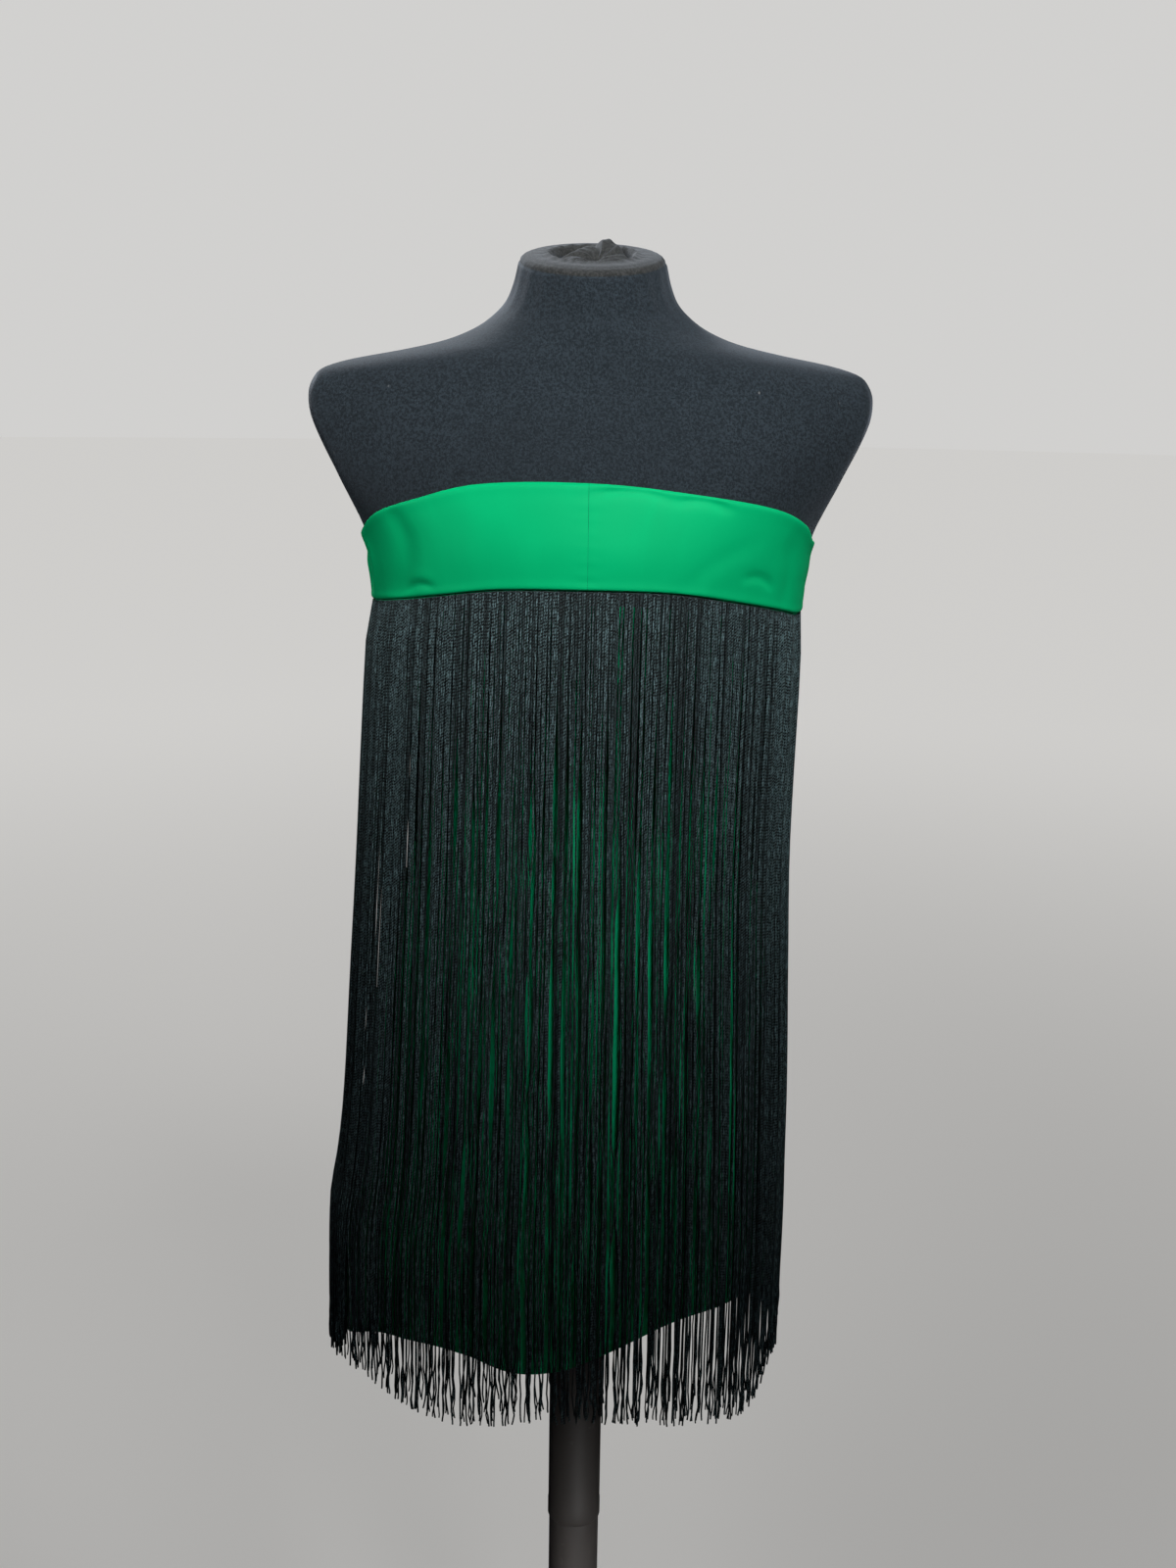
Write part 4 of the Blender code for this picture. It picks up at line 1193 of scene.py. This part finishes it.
def fringe_tree(finish):
    """Ropes that fall down a sheet, which gives their places by its UV map. They start evenly
    spaced and draw together into pairs and locks lower down, with a little sway and curl."""
    tree, graph, inlet = new_tree("rope_fringe", [
        ("Sheet", "NodeSocketGeometry", None), ("Count", "NodeSocketInt", 244),
        ("Points", "NodeSocketInt", 32), ("Radius", "NodeSocketFloat", 0.0008),
        ("Layer", "NodeSocketFloat", 0.0), ("Width", "NodeSocketFloat", 0.43),
        ("Lock Size", "NodeSocketFloat", 0.0085), ("Lock Pull", "NodeSocketFloat", 0.38),
        ("Pair Size", "NodeSocketFloat", 0.0034), ("Pair Pull", "NodeSocketFloat", 0.42),
        ("Sway", "NodeSocketFloat", 0.002), ("Curl", "NodeSocketFloat", 0.0042),
        ("Cut Spread", "NodeSocketFloat", 0.042), ("Shift", "NodeSocketFloat", 0.0),
        ("Seed", "NodeSocketInt", 1), ("Lock Seed", "NodeSocketInt", 1),
        # Shade: painted shade that darkens the ropes as if shadowed, and thins them lower down
        ("Shade", "NodeSocketFloat", 0.0),
        ("Parting", "NodeSocketFloat", 0.135), ("Parting Width", "NodeSocketFloat", 0.0085),
    ], "Fringe")
    line = graph.add("GeometryNodeCurvePrimitiveLine", None,
                     {"Start": (0.0, 0.0, 0.0), "End": (0.0, 0.0, 1.0)})[0]
    line = graph.add("GeometryNodeResampleCurve", None,
                     {"Curve": line, "Count": inlet["Points"]})[0]
    copies = graph.add("GeometryNodeDuplicateElements", {"domain": "SPLINE"},
                       {"Geometry": line, "Amount": inlet["Count"]})
    rope = copies["Duplicate Index"]

    def chance(low, high, offset):
        return graph.add("FunctionNodeRandomValue", {"data_type": "FLOAT"},
                         {2: low, 3: high, "ID": rope, "Seed": inlet["Seed"] + offset})[1]

    def wave(across, down, layer):
        return graph.noise(graph.vector(across, down, layer), 1.0, 1.0) - 0.5

    def keep(geometry, name, value, kind="FLOAT"):
        """Store a value on the points, for the rope's finish."""
        return graph.add("GeometryNodeStoreNamedAttribute", {"data_type": kind, "domain": "POINT"},
                         {"Geometry": geometry, "Name": name, "Value": value})[0]

    down = 1.0 - (1.0 - graph.add("GeometryNodeSplineParameter")["Factor"]) ** 1.6
    share = (rope + 0.5 + inlet["Shift"] + chance(-0.22, 0.22, 1)) / inlet["Count"]
    arc = share * inlet["Width"]

    def pull(size, strength, start, full, offset):
        """Towards the middle of the lock or pair that the rope belongs to."""
        spot = arc / size + offset
        cell = graph.add("ShaderNodeTexVoronoi", {"voronoi_dimensions": "1D"},
                         {"W": spot, "Scale": 1.0, "Randomness": 0.85})
        return (cell["W"] - spot) * size * strength * down.rise(start, full), cell["Color"]

    # Locks draw together in dashes that come and go, mostly in the middle of each half
    middle = share.rise(0.14, 0.38) * (1.0 - share.rise(0.62, 0.86))
    loose = (wave(arc * 150.0, down * 6.5, inlet["Lock Seed"] + 77.0) + 0.06).rise(-0.10, 0.20)
    loose = loose * (0.30 + 0.90 * middle)
    locks, _ = pull(inlet["Lock Size"], inlet["Lock Pull"] * loose, 0.06, 0.28,
                    inlet["Lock Seed"] * 7.31)
    tufts, _ = pull(inlet["Lock Size"] * 0.45, inlet["Lock Pull"] * loose, 0.08, 0.40,
                    inlet["Lock Seed"] * 3.17 + 5.0)
    pairs, pair_chance = pull(inlet["Pair Size"], inlet["Pair Pull"], -0.25, 0.60,
                              inlet["Seed"] * 7.31 + 31.7)
    # One parting near the half's start, low down
    side = (share - inlet["Parting"]) / 0.0020
    parting = side / (side * side + 1.0) * inlet["Parting Width"] * down.rise(0.80, 0.93)
    # Each rope's own way: a slow sway, a stray bend, a fine shiver and a curl at its cut end
    sway = wave(arc * 30.0, down * 1.3, inlet["Seed"] * 3.1) * inlet["Sway"] * 2.0 * down
    stray = wave(rope * 3.7, down * 3.1, 11.0) * 0.0022 * down.rise(0.0, 0.5)
    parted = down.rise(0.015, 0.035) * (1.0 - down.rise(0.05, 0.09))
    shiver = wave(rope * 6.1, down * 26.0, 41.0) * 0.0011 * (down.rise(0.0, 0.08) + 1.8 * parted)
    curl = wave(rope * 5.3, down * 22.0, 5.0) * inlet["Curl"] * 2.0 * down.rise(0.90, 1.0)
    moved = locks + tufts + pairs + sway + stray + shiver + curl + parting
    across = share + moved / inlet["Width"]
    # Ropes are cut a little unevenly, most of them near their full length
    cut = chance(0.0, 1.0, 7)
    reach = 1.0 - cut * cut * inlet["Cut Spread"]
    spot = graph.vector(across, down * reach)
    uv = graph.add("GeometryNodeInputNamedAttribute", {"data_type": "FLOAT_VECTOR"},
                   {"Name": "fall"})[0]

    def on_sheet(value):
        return graph.add("GeometryNodeSampleUVSurface", {"data_type": "FLOAT_VECTOR"},
                         {"Mesh": inlet["Sheet"], "Value": value, "UV Map": uv,
                          "Sample UV": spot})[0]

    place = on_sheet(graph.add("GeometryNodeInputPosition")[0])
    outward = on_sheet(graph.add("GeometryNodeInputNormal")[0])
    pair_depth = graph.add("ShaderNodeSeparateXYZ", None, {0: pair_chance})["X"] - 0.5
    depth = wave(rope * 9.1, down * 2.2, 17.0) * 0.0020 + pair_depth * 0.0006 + inlet["Layer"]
    flare = wave(rope * 2.9, down * 13.0, 23.0) * inlet["Curl"] * 2.0 * down.rise(0.88, 1.0)
    depth = depth * down.rise(0.0, 0.10) + flare
    lift = graph.add("ShaderNodeVectorMath", {"operation": "SCALE"},
                     {0: outward, "Scale": depth})[0]
    spot = graph.add("ShaderNodeVectorMath", {"operation": "ADD"}, {0: place, 1: lift})[0]
    ropes = graph.add("GeometryNodeSetPosition", None,
                      {"Geometry": copies["Geometry"], "Position": spot})[0]
    slim = 1.0 - (0.18 + inlet["Shade"] * 0.20) * down.rise(0.10, 0.45)
    ropes = keep(ropes, "rope_along", graph.add("GeometryNodeSplineParameter")["Length"])
    ropes = keep(ropes, "rope_tone", chance(0.0, 1.0, 13))
    # The layer's painted shade, for the rope's finish to darken it
    ropes = keep(ropes, "rope_painted_shade", inlet["Shade"])
    ring = graph.add("GeometryNodeCurvePrimitiveCircle", None,
                     {"Resolution": 5, "Radius": 1.0})[0]
    ring = keep(ring, "rope_turn", graph.add("GeometryNodeInputPosition")[0], "FLOAT_VECTOR")
    solid = graph.add("GeometryNodeCurveToMesh", None,
                      {"Curve": ropes, "Profile Curve": ring, "Scale": inlet["Radius"] * slim,
                       "Fill Caps": True})[0]
    end_tree(graph, solid, finish)
    return tree


class DRESS_OT_fringe(bpy.types.Operator):
    """Build the rope fringe in its layers, and the header tape that it hangs from"""

    bl_idname = "dress.fringe"
    bl_label = "Rope fringe"

    halves = {"front": (-90.0, 90.0, 3), "back": (90.0, 270.0, 40)}
    # Each layer: its depth, ropes fewer, shift in ropes, what its seed adds and its painted shade,
    # which darkens its ropes as if shadowed and thins them lower down
    layers = {"outer": (0.0004, 0, -0.25, 0, 0.0), "inner": (-0.0018, 50, 0.25, 11, 0.75)}
    tape_inner = 0.0021
    tape_outer = 0.0024
    margin = 0.03
    root_out = 0.0030
    spring_depth = 0.020

    def execute(self, context):
        sizes = context.scene.dress_sizes
        tree = fringe_tree(finish_for("rope"))
        for half, (start, end, seed) in self.halves.items():
            tape = self.tape(half, start, end, sizes)
            settle(tape, "fringe_rope")
            for layer, (depth, fewer, shift, more, dark) in self.layers.items():
                sheet, width = self.sheet(half, start, end)
                modifier = sheet.modifiers.new("fringe", "NODES")
                modifier.node_group = tree
                for label, value in (
                        ("Count", sizes.rope_count - fewer), ("Points", sizes.rope_points),
                        ("Radius", sizes.rope_radius), ("Layer", depth), ("Width", width),
                        ("Shift", shift), ("Seed", seed + more), ("Lock Seed", seed),
                        ("Shade", dark)):
                    set_input(modifier, label, value)
                ropes = evaluated_piece(sheet, f"fringe_ropes_{half}_{layer}", sharp=None)
                settle(ropes, "fringe_rope", f"fringe_{half}")
        return {"FINISHED"}

    def arc_azimuths(self, start, end):
        """Azimuths at even steps of the fringe's own length round the band, and that length."""
        azimuths = np.linspace(start, end, 721)
        places = fall_points(azimuths, np.full_like(azimuths, FALL[0].drop))
        steps = np.linalg.norm(np.diff(places, axis=0), axis=1)
        arc = np.concatenate([[0.0], np.cumsum(steps)])
        return azimuths, arc / arc[-1], float(arc[-1])

    def plumb(self, azimuth, drop):
        """Azimuths moved round so that a rope at the middle hangs plumb as the skirt swings."""
        row = row_values(FALL, drop)
        share = (-row.swing / row.half_width) ** (FALL_FULLNESS * 0.5)
        return azimuth + np.degrees(np.arcsin(share)) * np.cos(np.radians(azimuth))

    def sheet(self, half, start, end):
        """The sheet that the ropes fall down, a little wider than they are at both sides."""
        azimuths, arc, width = self.arc_azimuths(start, end)
        shares = np.linspace(-self.margin, 1.0 + self.margin, 181)
        columns = np.interp(shares, arc, azimuths)
        columns = np.where(shares < 0.0, start + shares * (end - start), columns)
        columns = np.where(shares > 1.0, end + (shares - 1.0) * (end - start), columns)
        levels = np.linspace(0.0, 1.0, 61)
        azimuth, level = np.meshgrid(columns, levels)
        root = edges_at(azimuth).band_bottom + 0.0009
        end_drop = edges_at(self.plumb(azimuth, FALL[-1].drop)).fringe_end
        drop = root + (end_drop - root) * level
        hung = np.clip((drop - root) / self.spring_depth, 0.0, 1.0)
        hung = (hung * hung * (3.0 - 2.0 * hung))[..., None]
        points = figure_points(azimuth, root, self.root_out) * (1.0 - hung)
        points = points + fall_points(self.plumb(azimuth, drop), drop) * hung
        points[..., 2] = SHOULDER_HEIGHT - drop
        faces = grid_faces(np.arange(azimuth.size).reshape(azimuth.shape))
        places = np.stack(np.meshgrid(shares, levels), axis=-1).reshape(-1, 2)
        sheet = new_piece("fall_sheet_" + half, points.reshape(-1, 3), faces, places=places,
                          map_name="fall")
        return sheet, width

    def tape(self, half, start, end, sizes):
        """The header tape that the ropes hang from, behind their roots."""
        azimuths = panel_azimuths(start, end, 200)
        edges = edges_at(azimuths)
        outer, inner = [], []
        for share in np.linspace(0.0, 1.0, 6):
            drop = edges.band_bottom + SEAM_GAP * 2.0 + sizes.tape_height * share
            outer.append(figure_points(azimuths, drop, self.tape_outer))
            inner.append(figure_points(azimuths, drop, self.tape_inner))
        section = np.stack(outer + inner[::-1])
        return wall_piece(f"fringe_tape_{half}", azimuths, section, finish_for("tape"))


class DRESS_OT_stage(bpy.types.Operator):
    """Set the pale floor, the soft lights and the camera"""

    bl_idname = "dress.stage"
    bl_label = "Stage"

    backdrop_low = (0.640, 0.635, 0.625, 1.0)
    backdrop_high = (0.20, 0.20, 0.21, 1.0)
    ambient = (0.011, 0.011, 0.012, 1.0)
    # Each soft light: its name, place, aim, size, power and spread in degrees
    soft_lights = (
        ("key_light", (0.34, -1.02, 2.20), (0.0, 0.0, 1.42), 0.45, 1.90, 47.0),
        ("fill_light", (-1.5, -0.8, 1.95), (-0.05, 0.0, 1.42), 0.5, 0.56, 30.0),
        ("side_light", (1.7, -0.6, 1.90), (0.05, 0.0, 1.34), 0.5, 0.29, 34.0),
        ("back_light", (-0.7, 1.3, 2.3), (0.0, 0.0, 1.30), 0.6, 3.2, 60.0),
        ("low_light", (0.4, -1.3, 0.30), (0.0, 0.0, 0.21), 0.45, 1.2, 24.0),
    )

    def execute(self, context):
        self.floor()
        self.lights()
        self.camera(context)
        return {"FINISHED"}

    def floor(self):
        mesh = bpy.data.meshes.new("floor")
        shape = bmesh.new()
        bmesh.ops.create_circle(shape, cap_ends=True, radius=30.0, segments=96)
        shape.to_mesh(mesh)
        shape.free()
        mesh.materials.append(finish_for("floor"))
        floor = link_piece(bpy.data.objects.new("floor", mesh))
        floor.visible_diffuse = False
        floor.visible_glossy = False

    def lights(self):
        world = bpy.data.worlds.new("studio")
        world.use_nodes = True
        graph = Graph(world.node_tree)
        back = world.node_tree.nodes["Background"]
        ray = graph.add("ShaderNodeSeparateXYZ", None,
                        {0: graph.add("ShaderNodeTexCoord")["Generated"]})
        sky = graph.mix(ray["Z"].rise(0.18, 0.62), self.backdrop_low, self.backdrop_high)
        seen = graph.add("ShaderNodeLightPath")["Is Camera Ray"]
        sky = graph.mix(seen, self.ambient, sky)
        world.node_tree.links.new(sky.socket, back.inputs["Color"])
        back.inputs["Strength"].default_value = 1.0
        bpy.context.scene.world = world
        for row in self.soft_lights:
            self.area(*row)

    def area(self, name, place, aim, size, power, spread):
        light = bpy.data.lights.new(name, "AREA")
        light.shape = "DISK"
        light.size = size
        light.energy = power
        light.spread = math.radians(spread)
        thing = link_piece(bpy.data.objects.new(name, light))
        thing.location = place
        thing.visible_camera = False
        heading = Vector(aim) - Vector(place)
        thing.rotation_euler = heading.to_track_quat("-Z", "Y").to_euler()

    def camera(self, context):
        data = bpy.data.cameras.new("camera")
        data.lens = CAMERA_LENS
        data.sensor_width = 36.0
        thing = link_piece(bpy.data.objects.new("camera", data))
        ahead = Vector((0.0, math.cos(CAMERA_TIP), -math.sin(CAMERA_TIP)))
        up = Vector((0.0, math.sin(CAMERA_TIP), math.cos(CAMERA_TIP)))
        right = Vector((1.0, 0.0, 0.0))
        side = right * math.cos(CAMERA_ROLL) + up * math.sin(CAMERA_ROLL)
        top = up * math.cos(CAMERA_ROLL) - right * math.sin(CAMERA_ROLL)
        turn = Matrix((side, top, -ahead)).transposed().to_4x4()
        place = Matrix.Translation((CAMERA_SIDE, -CAMERA_DISTANCE, CAMERA_HEIGHT))
        thing.matrix_world = place @ turn
        context.scene.camera = thing
        context.scene.view_settings.view_transform = "Standard"


class DRESS_PT_panel(bpy.types.Panel):
    """The dress's pieces, sizes and colours"""

    bl_idname = "DRESS_PT_panel"
    bl_label = "Fringe dress"
    bl_space_type = "VIEW_3D"
    bl_region_type = "UI"
    bl_category = "Dress"

    def draw(self, context):
        for kind in OPERATORS:
            self.layout.operator(kind.bl_idname)
        for group in (context.scene.dress_sizes, context.scene.dress_colours):
            box = self.layout.box()
            for name in group.bl_rna.properties.keys():
                if name not in ("rna_type", "name"):
                    box.prop(group, name)


OPERATORS = (DRESS_OT_stage, DRESS_OT_stand, DRESS_OT_form, DRESS_OT_band, DRESS_OT_slip,
             DRESS_OT_fringe)
CLASSES = (DressSizes, DressColours, *OPERATORS, DRESS_PT_panel)


def register():
    for kind in CLASSES:
        bpy.utils.register_class(kind)
    bpy.types.Scene.dress_sizes = PointerProperty(type=DressSizes)
    bpy.types.Scene.dress_colours = PointerProperty(type=DressColours)


def unregister():
    del bpy.types.Scene.dress_colours
    del bpy.types.Scene.dress_sizes
    for kind in reversed(CLASSES):
        bpy.utils.unregister_class(kind)


def main():
    register()
    bpy.ops.dress.stage()
    bpy.ops.dress.stand()
    bpy.ops.dress.form()
    bpy.ops.dress.band()
    bpy.ops.dress.slip()
    bpy.ops.dress.fringe()


if __name__ == "__main__":
    main()
